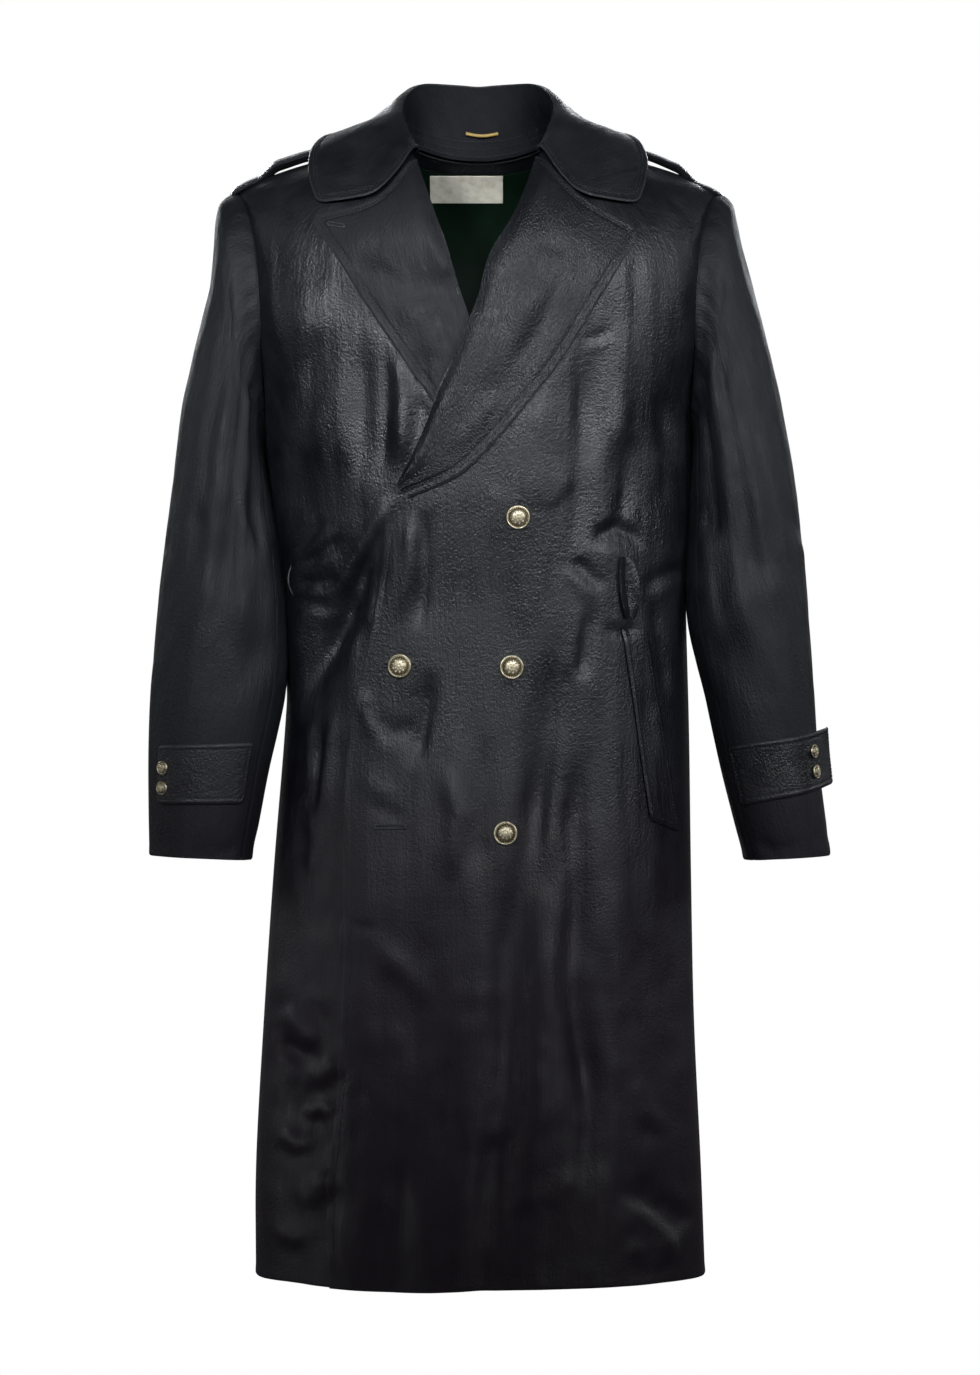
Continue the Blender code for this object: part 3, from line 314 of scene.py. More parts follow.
def spread(points, step, firstLines, lastLines):
    # walks every column of the first axis again in even steps, with its own close lines at both ends
    walked = walkedLength(points)
    count = max(2, round(walked[-1].max() / step) - len(firstLines) - len(lastLines))
    made = []
    for column in range(points.shape[1]):
        length = walked[-1, column]
        tight = min(1.0, 0.6 * length / (firstLines[-1] + lastLines[-1]))
        first = np.array(firstLines) * tight
        last = length - np.array(lastLines)[::-1] * tight
        at = np.concatenate([first, np.linspace(first[-1], last[0], count + 2)[1:-1], last])
        parts = [np.interp(at, walked[:, column], points[:, column, k]) for k in range(3)]
        made.append(np.stack(parts, axis=1))
    return np.stack(made, axis=1)


def gridNormals(points):
    across = np.gradient(points, axis=1)
    upward = np.gradient(points, axis=0)
    normals = np.cross(across, upward)
    return normals / np.maximum(np.linalg.norm(normals, axis=2, keepdims=True), 1e-12)


def layOut(name):
    # the fine grid of a piece, with each point's distance from the four edges in millimetres
    plan = dict(zip(planKeys, plans[name] + ((), ())))
    points = solidSide(name, plan)
    step = plan["step"] * mm
    close = max(2, math.ceil(np.linalg.norm(points[1:] - points[:-1], axis=2).mean() / step))
    points = curveThrough(points, close)
    points = curveThrough(points.transpose(1, 0, 2), close * 2).transpose(1, 0, 2)
    lines = [np.array(plan["lines"] if key in plan["edges"] else plainRow) * mm for key in allRound]
    points = spread(points, step, *lines[:2])
    points = spread(points.transpose(1, 0, 2), step, *lines[2:]).transpose(1, 0, 2)
    normals = gridNormals(points)
    turned = Vector(normals.mean(axis=(0, 1))).dot(Vector(plan["facing"])) < 0
    across, upward = walkedLength(points, 1) / mm, walkedLength(points, 0) / mm
    return {"name": name, "plan": plan, "points": points, "normals": -normals if turned else normals,
            "turned": turned, "across": across, "upward": upward,
            "x": points[..., 0] / mm, "y": points[..., 1] / mm, "z": points[..., 2] / mm,
            "firstColumn": across, "lastColumn": across[:, -1:] - across,
            "firstRow": upward, "lastRow": upward[-1:] - upward}


def press(cloth, heights):
    # moves the grid along its normals by heights in millimetres
    cloth["points"] = cloth["points"] + cloth["normals"] * (heights * mm)[..., None]
    normals = gridNormals(cloth["points"])
    cloth["normals"] = -normals if cloth["turned"] else normals


def foldHeights(x, z, folds):
    # a fold is a route, half width, height and, if any, lip: the share that swells up along its right hand side
    total = np.zeros_like(x)
    for number, (route, width, height, *lip) in enumerate(folds):
        walked = walkedLength(np.array(route, float))
        near, offset, share = np.full(x.shape, 1e9), np.zeros_like(x), np.zeros_like(x)
        for i, ((ax, az), (bx, bz)) in enumerate(zip(route, route[1:])):
            length = walked[i + 1] - walked[i]
            t = np.clip(((x - ax) * (bx - ax) + (z - az) * (bz - az)) / length ** 2, 0, 1)
            dx, dz = x - ax - t * (bx - ax), z - az - t * (bz - az)
            gap = np.hypot(dx, dz)
            hand = np.sign(dz * (bx - ax) - dx * (bz - az))
            closer = gap < near
            near = np.where(closer, gap, near)
            offset = np.where(closer, -gap * hand, offset)
            share = np.where(closer, (walked[i] + t * length) / walked[-1], share)
        openEnd = route[-1][1] < hemLine
        ends = ease(0, 0.3, share if openEnd else np.minimum(share, 1 - share))
        uneven = 1 + 0.22 * np.sin(share * walked[-1] / 19 + 2.1 * number)
        bell = np.exp(-(offset / width) ** 2)
        swell = np.exp(-((offset - 1.7 * width) / (1.2 * width)) ** 2)
        total += height * ends * uneven * (bell - sum(lip) * swell)
    return total


def wander(x, z, wide, long, seed):
    # slow uneven swelling between -1 and 1, wide by long millimetres
    spots = zip((x / wide).ravel(), (z / long).ravel())
    return np.array([noise.noise((a, b, seed)) for a, b in spots]).reshape(x.shape)


def turnedEdge(distance):
    # cloth folded under along a free edge: a round lip, then a soft bulge over the turning
    return -1.1 * np.exp(-(distance / 1.0) ** 2) + 0.5 * (1 - ease(5, 9, distance))


def rubbedEdge(distance):
    return 0.5 * np.exp(-(distance / 1.8) ** 2)


def sewnEdge(distance):
    # cloth drawn down into a seam
    return -0.9 * np.exp(-(distance / 1.8) ** 2)


def stitchGroove(distance, at):
    return -0.55 * np.exp(-((distance - at) / 1.3) ** 2)


hemLine = -1100
cloths = {}


def nearestEdge(cloth, *keys):
    return np.minimum.reduce([cloth[key] for key in keys or cloth["plan"]["edges"]])


def addPiece(name, vertices, faces):
    mesh = bpy.data.meshes.new(name)
    mesh.from_pydata(vertices, [], faces)
    mesh.validate()
    piece = bpy.data.objects.new(name, mesh)
    bpy.context.scene.collection.objects.link(piece)
    return piece


def hang(piece, node=None):
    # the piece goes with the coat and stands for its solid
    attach(piece, "root")
    if node:
        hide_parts(node)


def cutCloth(cloth, material=cottonShell):
    # the grid becomes a closed thin shell, and its unrolled lengths the map that the weave follows
    name, points = cloth["name"], cloth["points"]
    rows, columns = points.shape[:2]
    spots = np.arange(rows * columns).reshape(rows, columns)
    corners = [spots[:-1, :-1], spots[:-1, 1:], spots[1:, 1:], spots[1:, :-1]]
    quads = np.stack(corners[::-1] if cloth["turned"] else corners, axis=2).reshape(-1, 4)
    piece = addPiece(name + "_cloth", points.reshape(-1, 3).tolist(), quads.tolist())
    mesh = piece.data
    grain = [cloth.get("grainAcross", cloth["across"]), cloth.get("grainUp", cloth["upward"])]
    cut = np.stack(grain, axis=2) * mm
    layer = mesh.uv_layers.new(name="cut")
    layer.data.foreach_set("uv", cut.reshape(-1, 2)[quads.ravel()].astype(np.float32).ravel())
    # the wear attribute: rubbed edges, and along crease crests partly a painted highlight
    rubbed = mesh.attributes.new("wearAndCreaseHighlight", "FLOAT", "POINT")
    rubbed.data.foreach_set("value", cloth.get("wearAndCreaseHighlight", np.zeros((rows, columns))).ravel().astype(np.float32))
    bpy.ops.object.select_all(action="DESELECT")
    piece.select_set(True)
    bpy.context.view_layer.objects.active = piece
    wall = piece.modifiers.new("wall", "SOLIDIFY")
    wall.thickness, wall.offset, wall.use_even_offset = cloth["plan"]["thick"] * mm, -1, False
    bpy.ops.object.modifier_apply(modifier=wall.name)
    bpy.ops.object.shade_smooth_by_angle(angle=math.radians(55))
    mesh.materials.append(material)
    hang(piece, name)
    touch = BVHTree.FromPolygons(points.reshape(-1, 3).tolist(), quads.tolist())
    cloths[name] = dict(cloth, piece=piece, touch=touch, sewn=[])
    print("coat:", name, rows, "x", columns, "threads,", len(mesh.polygons), "faces")


# Folds of the front, seen from the front in millimetres: route, half width, height, lip

frontFolds = [
    (((-56, -176), (-52, -242), (-58, -300)), 8, -5.0, 0.2),  # beside the right lapel's edge
    (((-77, -166), (-74, -242), (-75, -322)), 8, 4.0),
    (((-90, -180), (-89, -250), (-92, -330)), 6, -2.4),
    (((-166, -110), (-168, -230), (-160, -350)), 26, 6.5),  # chest
    (((-158, -350), (-162, -450), (-168, -580)), 22, 4.0),
    (((-113, -170), (-112, -260), (-106, -330)), 13, -3.4, 0.2),
    (((-198, -170), (-203, -250), (-194, -330)), 12, -2.6, 0.2),
    (((-96, -362), (-128, -458), (-152, -505), (-176, -560)), 11, -6.0, -0.2),  # drag from the break point
    (((-82, -330), (-114, -388), (-148, -446)), 8, 5.0),
    (((-66, -348), (-66, -400), (-76, -460)), 7, 3.0),
    (((-52, -346), (-51, -410), (-58, -474)), 7, -3.0),
    (((-129, -372), (-150, -388), (-172, -404)), 6, -3.0, 0.4),  # drawn in at the thread loop
    (((-132, -414), (-152, -420), (-176, -419)), 5, -2.8, -0.4),
    (((-140, -446), (-158, -440), (-178, -428)), 6, -2.4, -0.3),
    (((-150, -352), (-164, -374), (-176, -394)), 6, -2.6, 0.4),
    (((114, -390), (122, -372), (136, -364), (152, -372), (162, -392)), 6, -3.6, -0.6),  # over the cloth loop
    (((92, -396), (108, -412), (126, -428)), 7, -2.8, 0.5),
    (((160, -428), (178, -414), (204, -400)), 7, -2.8, 0.4),
    (((122, -462), (140, -470), (160, -462)), 6, -1.4),
    (((172, -430), (180, -480), (186, -540)), 7, -2.8, 0.3),
    (((112, -437), (106, -476), (100, -520)), 7, -2.8, 0.4),
    (((106, -186), (102, -300), (96, -440)), 13, -4.6, -0.3),  # left chest
    (((140, -160), (137, -240), (134, -310)), 16, 3.2),
    (((98, -184), (116, -181), (134, -172)), 5, -1.2, 0.6),
    (((180, -220), (183, -290), (178, -362)), 9, -3.0, 0.2),
    (((60, -230), (62, -300), (66, -350)), 14, 2.0),
    (((86, -446), (67, -588), (49, -694), (36, -770), (35, -830), (28, -905), (20, -985), (6, -1106)),
     14, -3.8, 0.15),
    (((106, -496), (104, -588), (93, -653), (98, -713), (94, -805), (104, -898), (112, -946), (99, -1020)),
     12, -3.8, 0.15),
    (((80, -548), (72, -640), (66, -720)), 9, 2.6),
    (((-43, -500), (-51, -554), (-62, -606)), 7, -3.8, -0.5),  # below the buttoned edge
    (((-34, -590), (-20, -646), (-33, -716)), 10, 3.0),
    (((10, -560), (4, -640), (-4, -720)), 12, -2.2, 0.4),
    (((-104, -548), (-84, -566), (-58, -560)), 9, -1.3, 0.4),
    (((-110, -520), (-112, -545), (-100, -575)), 6, 1.8),
    (((-118, -606), (-98, -622), (-74, -626)), 10, 1.2),
    (((-108, -636), (-90, -644), (-70, -652)), 7, -1.2, 0.3),
    (((-104, -762), (-74, -796), (-36, -836)), 11, 1.9, 0.2),  # diagonal over the thigh
    (((-122, -752), (-110, -758), (-98, -753)), 5, -1.4, 0.2),
    (((-120, -850), (-96, -866), (-62, -862)), 16, 1.3),
    (((-126, -905), (-108, -935), (-116, -975)), 13, -1.4, 0.2),
    (((-163, -552), (-165, -590), (-164, -626)), 7, 3.4),  # crumples of the right side
    (((-141, -538), (-147, -600), (-156, -660)), 7, 3.4),
    (((-152, -562), (-156, -610), (-160, -650)), 4, -2.4),
    (((-168, -640), (-158, -672), (-166, -712)), 9, 2.4, 0.3),
    (((-192, -836), (-174, -853), (-154, -874)), 11, 4.6, 0.4),
    (((-200, -866), (-178, -884), (-150, -882)), 10, -4.2),
    (((-164, -910), (-148, -896), (-134, -884)), 9, 4.2, 0.3),
    (((-192, -906), (-172, -926), (-146, -914)), 11, -4.0),
    (((-174, -942), (-154, -931), (-138, -941)), 8, 3.8, 0.4),
    (((-196, -958), (-176, -970), (-156, -965)), 9, 3.4, 0.4),
    (((-174, -1032), (-158, -1014), (-143, -994)), 11, 5.0, 0.3),
    (((-200, -1066), (-186, -1060), (-168, -1068)), 10, 2.4, 0.2),
    (((136, -1020), (160, -1036), (178, -1052), (191, -1067), (196, -1092)), 7, 5.0, -0.7),  # lower left corner
    (((170, -1022), (192, -1036), (212, -1056)), 10, -2.6),
    (((140, -1064), (164, -1074), (186, -1096)), 10, 1.6, 0.2),
    (((8, -966), (26, -950), (48, -946)), 11, 1.5, 0.2),  # small knocks near the hem
    (((22, -1036), (40, -1018), (62, -1018)), 11, 1.4, 0.2),
    (((66, -1030), (84, -1006), (104, -1000)), 12, 1.4, 0.2),
    (((56, -880), (64, -916), (62, -960)), 10, 2.0, 0.3),
    (((150, -900), (166, -936), (188, -964)), 10, 2.0, 0.4),
    (((120, -760), (128, -830), (140, -900)), 14, -2.2, 0.3),
    (((160, -700), (168, -780), (172, -860)), 15, -2.2, 0.3),
    (((-20, -860), (-36, -930), (-30, -1000)), 14, -2.4, 0.4),
    (((-70, -980), (-86, -1030), (-84, -1106)), 13, -2.2, 0.4),
]

# Grey along the crest of a crease, partly the whitened wear of the wax and partly a painted highlight where the
# lamps give none: route, half width, share
creaseWearAndHighlights = [
    (((132, -1014), (160, -1036), (178, -1052), (191, -1067), (195, -1090)), 4.5, 1.0),
    (((-194, -834), (-174, -853), (-152, -876)), 8, 0.36),
    (((-166, -911), (-148, -896), (-132, -882)), 6, 0.36),
    (((-176, -944), (-154, -931), (-136, -944)), 4.5, 0.4),
    (((-198, -958), (-174, -970), (-154, -964)), 4.5, 0.4),
    (((-175, -1034), (-157, -1014), (-141, -992)), 7, 0.5),
    (((-108, -758), (-74, -796), (-44, -828)), 9, 0.14),
]

# The back hangs in the same way: long falls from the shoulder blades, gathers at the waist, knocks by the hem.
backFolds = [
    (((-158, -84), (-112, -190), (-58, -284)), 22, -2.2),
    (((156, -80), (108, -186), (50, -278)), 22, -2.2),
    (((-118, -330), (-103, -560), (-126, -800), (-140, -1106)), 13, -4.4, 0.4),
    (((-30, -300), (-18, -520), (-34, -780), (-40, -1106)), 14, -4.0, -0.3),
    (((66, -360), (58, -600), (76, -840), (80, -1106)), 13, -4.4, 0.4),
    (((140, -420), (132, -640), (150, -880), (164, -1106)), 12, -3.8, -0.4),
    (((20, -430), (26, -620), (18, -820)), 13, 2.6),
    (((-72, -440), (-66, -640), (-84, -860)), 13, 2.6),
    (((-184, -372), (-140, -402), (-90, -412)), 12, -1.6, 0.2),
    (((-186, -436), (-148, -430), (-104, -446)), 12, -1.4, -0.2),
    (((184, -368), (142, -396), (94, -402)), 12, -1.6, -0.2),
    (((188, -432), (150, -426), (108, -442)), 12, -1.4, 0.2),
    (((-80, -400), (-20, -414), (44, -398)), 15, -1.2),
    (((-120, -220), (-90, -300), (-96, -380)), 16, 2.2),
    (((112, -230), (94, -300), (98, -380)), 16, 2.2),
    (((-184, -870), (-150, -910), (-118, -966)), 15, 2.2, 0.2),
    (((88, -918), (124, -960), (162, -980)), 15, 2.0, 0.2),
    (((-34, -970), (4, -1006), (44, -1016)), 14, 1.7, 0.2),
    (((-124, -1022), (-84, -1046), (-46, -1044)), 14, 1.5, 0.2),
]

buttonNodes = ["front_button_%d" % n for n in range(1, 5)]
buttonSeats = [(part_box(node)[0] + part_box(node)[1]) / 2 / mm for node in buttonNodes]

lapelFolds = [
    (((62, -118), (34, -176), (2, -232)), 14, 3.2),  # left: swells between roll and edge
    (((86, -118), (62, -168), (34, -214)), 7, -1.6, 0.3),
    (((60, -84), (74, -94), (92, -96)), 8, -1.4, 0.4),
    (((24, -232), (2, -262), (-30, -296)), 9, 1.6),
    (((30, -110), (14, -150), (-6, -196)), 8, -1.4),
    (((-44, -82), (-36, -102), (-25, -124)), 7, 2.0),  # right: light along the roll, then a break
    (((-150, -108), (-60, -127), (30, -146)), 15, -2.6),
    (((-66, -140), (-50, -172), (-34, -204)), 16, 3.0),
    (((-100, -92), (-84, -110), (-66, -132)), 8, 1.4),
    (((-46, -150), (-36, -176), (-28, -198)), 6, -1.6),
]
foldDepth = {"body": 1.3, "underLapel": 0.35}


def solidTree(node):
    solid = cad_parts[node].data
    return BVHTree.FromPolygons([spot.co for spot in solid.vertices],
                                [tuple(face.vertices) for face in solid.polygons])


lapelSolids = [solidTree(node) for node in ("lapel_left", "lapel_right")]
bodySolids = [solidTree(node) for node in ("front_left", "front_right", "back")]


def clearOfLapels(cloth):
    # 0 under a lapel and 1 well beside it
    gaps = [min(tree.find_nearest(Vector(spot))[3] for tree in lapelSolids)
            for spot in cloth["points"].reshape(-1, 3)]
    return ease(5, 15, np.array(gaps).reshape(cloth["x"].shape) / mm)


def shiftEdge(cloth, key, reach, amount):
    # draws a side edge out past its line, or in for a negative amount, fading over reach millimetres
    first = key == "firstColumn"
    last, before = (0, 1) if first else (-1, -2)
    edge = cloth["points"][:, [last]] - cloth["points"][:, [before]]
    edge = edge / np.linalg.norm(edge, axis=2, keepdims=True)
    cloth["points"] = cloth["points"] + edge * (amount * mm * np.exp(-(cloth[key] / reach) ** 2))[..., None]


def roundCorner(cloth, rowKey, columnKey, radius):
    # draws a square corner in to an arc, before anything is pressed
    a, b = cloth[rowKey], cloth[columnKey]
    near = (a < radius) & (b < radius)
    da, db = (radius - a) * near, (radius - b) * near
    share = np.where(near, np.maximum(da, db) / np.maximum(np.hypot(da, db), 1e-9), 1)
    up = np.gradient(cloth["points"], axis=0)
    along = np.gradient(cloth["points"], axis=1)
    up /= np.linalg.norm(up, axis=2, keepdims=True)
    along /= np.linalg.norm(along, axis=2, keepdims=True)
    signs = [1 if key.startswith("first") else -1 for key in (rowKey, columnKey)]
    cloth["points"] = cloth["points"] + mm * (up * (da * (1 - share) * signs[0])[..., None]
                                              + along * (db * (1 - share) * signs[1])[..., None])


def bodyHeights(cloth):
    # one set of heights for every layer of the front, so that the layers never cut each other
    x, z = cloth["x"], cloth["z"]
    facingFront = ease(0.12, 0.5, -cloth["normals"][..., 1])
    facingBack = ease(0.12, 0.5, cloth["normals"][..., 1])
    quiet = np.ones_like(x)
    for seat in buttonSeats:
        quiet -= np.exp(-((x - seat.x) ** 2 + (z - seat.z) ** 2) / 15 ** 2)
    quiet *= 1 - ease(-70, -15, z)
    drape = 1.3 * wander(x, z, 34, 210, 3.1) + 0.7 * wander(x, z, 13, 90, 8.4)
    knocks = ease(-560, -900, z) * (1.5 * wander(x, z, 46, 60, 5.7) + 0.8 * wander(x, z, 20, 26, 1.9))
    beside = (1 - ease(-152, -130, x)) * ease(-1098, -1050, z) * (1 - ease(-850, -790, z))
    knocks += beside * 3.4 * wander(x + 14 * wander(x, z, 40, 46, 2.8), z, 38, 44, 6.2)
    front = foldHeights(x, z, frontFolds) * facingFront
    back = foldHeights(x, z, backFolds) * facingBack
    return foldDepth["body"] * quiet * (front + back + (drape + knocks) * np.maximum(facingFront, facingBack))


# on each side: where the swell starts, is full, slackens and ends, and its height
sideSwell = {-1: (-225, -300, -470, -540, 7.0), 1: (-225, -290, -380, -450, 6.0)}


def sideHeights(cloth):
    # loose cloth that stands out at the side seams between armhole and waist
    total = np.zeros_like(cloth["x"])
    for side, (top, full, slack, end, height) in sideSwell.items():
        facing = ease(0.55, 0.95, side * cloth["normals"][..., 0])
        z = cloth["z"]
        total += height * facing * (1 - ease(full, top, z)) * ease(end, slack, z)
    return total


def bodyGrain(cloth):
    # the warp hangs straight down all round the body
    turn = np.arctan2(cloth["y"], cloth["x"])
    turn = np.where(turn < -0.5 * math.pi - 0.6, turn + 2 * math.pi, turn) if cloth["name"] == "back" else turn
    cloth["grainAcross"] = turn * 175
    cloth["grainUp"] = cloth["z"] + 0.4 * cloth["y"] * ease(-120, 20, cloth["z"])


def bodyPanel(name):
    cloth = layOut(name)
    bodyGrain(cloth)
    z, front = cloth["z"], name.startswith("front")
    seams = ("lastColumn",) if front else ("firstColumn", "lastColumn")
    heights = bodyHeights(cloth) * ease(2, 20, cloth["lastRow"])
    for key in seams:
        shiftEdge(cloth, key, 4, 1.2)
        heights *= ease(2, 24, cloth[key])
    if name == "front_left":
        shiftEdge(cloth, "firstColumn", 9, -4.5 * ease(-215, -175, z) * (1 - ease(-110, -80, z)))
    if front:
        low = foldDepth["underLapel"]
        heights *= low + (1 - low) * clearOfLapels(cloth)
        belowBreak = 1 - ease(-345, -325, z)
        soft = belowBreak * (0.2 + 0.5 * ease(-700, -560, z))
        heights += (turnedEdge(cloth["firstColumn"]) + stitchGroove(cloth["firstColumn"], 7.6)) * soft
        # grey along the crease crests is partly wear and partly a painted highlight; along the edges it is wear
        cloth["wearAndCreaseHighlight"] = np.clip(foldHeights(cloth["x"], z, creaseWearAndHighlights), 0, 1)
        cloth["wearAndCreaseHighlight"] += rubbedEdge(cloth["firstRow"]) + belowBreak * 0.4 * rubbedEdge(cloth["firstColumn"])
    heights += sideHeights(cloth) + 0.8 * turnedEdge(cloth["firstRow"])
    for key in seams + ("lastRow",):
        heights += sewnEdge(cloth[key])
    press(cloth, heights)
    cutCloth(cloth)


for name in ("front_left", "front_right", "back"):
    bodyPanel(name)
print("coat: body sewn")


# Sleeves: folds run over the unrolled top sleeve, millimetres from its front seam and height

sleeveFolds = {
    "sleeve_top_left": [
        (((4, -196), (26, -212), (54, -216)), 7, -3.4, 0.7),  # pulled under the arm
        (((8, -236), (30, -262), (38, -310)), 9, -2.4, 0.3),
        (((26, -120), (34, -240), (30, -400), (38, -540)), 11, -2.0, 0.3),  # long soft falls
        (((58, -150), (66, -290), (58, -430), (64, -540)), 12, 1.8),
        (((84, -110), (92, -250), (86, -400), (90, -540)), 13, -2.2, 0.3),
        (((118, -160), (126, -320), (120, -500)), 14, -2.2, 0.3),
        (((2, -352), (24, -366), (52, -362)), 11, -1.6, 0.4),  # elbow
        (((70, -392), (100, -404), (136, -396)), 11, -1.5, 0.4),
        (((150, -340), (166, -368), (190, -376)), 10, -2.0, 0.4),
        (((2, -668), (30, -684), (60, -676)), 9, -1.6, 0.4),  # cuff below the strap
        (((70, -690), (96, -676), (124, -684)), 9, 1.5, 0.4),
    ],
    "sleeve_top_right": [
        (((4, -206), (28, -226), (54, -232)), 8, -2.6, 0.5),
        (((20, -120), (27, -260), (22, -400), (28, -545)), 10, -2.0, 0.3),
        (((46, -140), (54, -280), (48, -420), (54, -545)), 11, 1.6),
        (((72, -130), (66, -280), (76, -420), (70, -545)), 11, -2.0, 0.3),
        (((98, -150), (106, -300), (98, -440), (104, -545)), 13, 1.6),
        (((130, -170), (122, -330), (132, -500)), 14, -2.2, 0.3),
        (((4, -372), (30, -382), (58, -376)), 12, -1.4, 0.4),
        (((84, -346), (112, -360), (146, -354)), 11, -1.5, 0.4),
        (((152, -400), (170, -380), (190, -384)), 10, -1.8, 0.4),
        (((4, -676), (34, -690), (70, -684)), 9, -1.5, 0.4),
    ],
    "sleeve_under_left": [
        (((6, -330), (40, -340), (80, -334)), 9, -2.0, 0.2),
        (((4, -384), (44, -390), (84, -382)), 9, -2.2, 0.2),
        (((40, -200), (46, -330), (40, -520)), 12, -1.8, 0.2),
    ],
    "sleeve_under_right": [
        (((6, -336), (40, -346), (80, -340)), 9, -2.0, 0.2),
        (((4, -390), (44, -396), (84, -388)), 9, -2.2, 0.2),
        (((38, -210), (44, -330), (38, -520)), 12, -1.8, 0.2),
    ],
}
sleeveSeeds = {"sleeve_top_left": 2.3, "sleeve_top_right": 6.9,
               "sleeve_under_left": 4.1, "sleeve_under_right": 9.5}
strapBand = (-655, -545)          # the sleeve lies flat under its strap


def closeArmhole(cloth):
    # the head of the sleeve is drawn on to the body's edge
    ends = [Vector(spot) for spot in cloth["points"][-1]]
    pulls = []
    for spot in ends:
        nearest = min((tree.find_nearest(spot) for tree in bodySolids), key=lambda found: found[3])
        pull = nearest[0] - spot
        pulls.append(tuple(pull * min(1.0, 15 * mm / max(pull.length, 1e-9))))
    share = 1 - ease(0, 24, cloth["lastRow"])
    cloth["points"] = cloth["points"] + np.array(pulls)[None] * share[..., None]


def sleevePiece(name, seed):
    cloth = layOut(name)
    closeArmhole(cloth)
    across, z = cloth["across"], cloth["z"]
    ripple = 0.9 * wander(across, z, 26, 130, seed) + 0.6 * wander(across, z, 15, 32, seed + 3) - 0.4
    heights = foldHeights(across, z, sleeveFolds[name]) + ripple
    flat = ease(strapBand[0] - 25, strapBand[0], z) * (1 - ease(strapBand[1], strapBand[1] + 25, z))
    heights *= (1 - flat) * ease(2, 16, cloth["firstColumn"]) * ease(2, 16, cloth["lastColumn"])
    heights *= ease(3, 26, cloth["lastRow"])
    if name.startswith("sleeve_under"):
        heights = np.minimum(heights, 0.4)                       # kept off the body beside it
    else:
        head = np.exp(-((cloth["lastRow"] - 9) / 8) ** 2) * (1 - np.exp(-(cloth["lastRow"] / 3) ** 2))
        heights += head * 0.8 * np.sin(across / 4.1 + 1.3 * np.sin(across / 17))     # fullness at the seam
    heights += turnedEdge(cloth["firstRow"]) * 0.8 + sewnEdge(cloth["lastRow"])
    heights += sewnEdge(cloth["firstColumn"]) + sewnEdge(cloth["lastColumn"])
    cloth["wearAndCreaseHighlight"] = rubbedEdge(cloth["firstRow"])
    press(cloth, heights)
    cutCloth(cloth, dullShell)


for name, seed in sleeveSeeds.items():
    sleevePiece(name, seed)
print("coat: sleeves set in")


# Lapels, collar, straps and the other doubled pieces, all turned and topstitched

def lapelPiece(name, material):
    cloth = layOut(name)
    edge = nearestEdge(cloth)
    roundCorner(cloth, "firstRow", "lastColumn", 5)
    heights = bodyHeights(cloth) * foldDepth["underLapel"]
    heights += foldHeights(cloth["x"], cloth["z"], lapelFolds) * ease(4, 16, edge)
    heights += 0.5 * wander(cloth["x"], cloth["z"], 16, 40, 4.4) * ease(4, 16, edge)
    heights += turnedEdge(edge) + 1.5 * stitchGroove(edge, 6.2) + 1.5 * stitchGroove(edge, 9.2)
    cloth["wearAndCreaseHighlight"] = rubbedEdge(edge)
    press(cloth, heights)
    cutCloth(cloth, material)


lapelPiece("lapel_left", lapelShell)
lapelPiece("lapel_right", dullShell)

stand = layOut("collar_stand")
standHeights = 0.9 * wander(stand["across"], stand["upward"], 15, 22, 7.7) * ease(2, 14, stand["lastRow"])
quilted = 1 - ease(18, 26, stand["upward"])
standHeights -= 0.5 * np.cos(stand["upward"] * math.pi / 4) * quilted
press(stand, standHeights)
cutCloth(stand, mattShell)

fall = layOut("collar_fall")
fallEdge = nearestEdge(fall)
roundCorner(fall, "firstRow", "firstColumn", 9)
roundCorner(fall, "firstRow", "lastColumn", 9)
fallHeights = 0.7 * wander(fall["across"], fall["upward"], 24, 45, 3.3) * ease(2, 14, fall["lastRow"])
press(fall, fallHeights + turnedEdge(fallEdge) + stitchGroove(fallEdge, 6.2) + stitchGroove(fallEdge, 9.2))
fall["wearAndCreaseHighlight"] = 0.3 * rubbedEdge(fallEdge)
cutCloth(fall, rubbedShell)


restLook = {"from": 200, "to": 222, "lift": 2.6}


def restOnShoulder(cloth):
    # the outer end lies on the cloth below, and only the middle of the strap arches clear of it
    below = [cloths[name]["touch"] for name in ("sleeve_top_left", "sleeve_top_right")] + bodySolids
    for row, line in enumerate(cloth["points"]):
        drops = []
        for spot in map(Vector, line):
            found = [tree.ray_cast(spot + Vector((0, 0, 0.01)), Vector((0, 0, -1)), 0.04)[0] for tree in below]
            drops += [max(hit.z for hit in found if hit) + restLook["lift"] * mm - spot.z] if any(found) else []
        share = ease(restLook["from"], restLook["to"], np.abs(cloth["x"][row]))
        if drops:
            cloth["points"][row, :, 2] += share * max(-9 * mm, float(np.median(drops)))


def strapPiece(name, ripple):
    cloth = layOut(name)
    edge = nearestEdge(cloth)
    if name.startswith("epaulette"):
        restOnShoulder(cloth)
    for rowKey in [key for key in cloth["plan"]["edges"] if key.endswith("Row")]:
        for columnKey in ("firstColumn", "lastColumn"):
            roundCorner(cloth, rowKey, columnKey, 5)
    heights = ripple * wander(cloth["across"], cloth["upward"], 16, 24, len(name) * 1.7)
    cloth["wearAndCreaseHighlight"] = 0.4 * rubbedEdge(edge)
    press(cloth, heights + turnedEdge(edge) + stitchGroove(edge, 5.4))
    cutCloth(cloth)


straps = {"epaulette_left": 0.5, "epaulette_right": 0.5, "sleeve_strap_left": 0.4, "sleeve_strap_right": 0.4}
for name, ripple in straps.items():
    strapPiece(name, ripple)

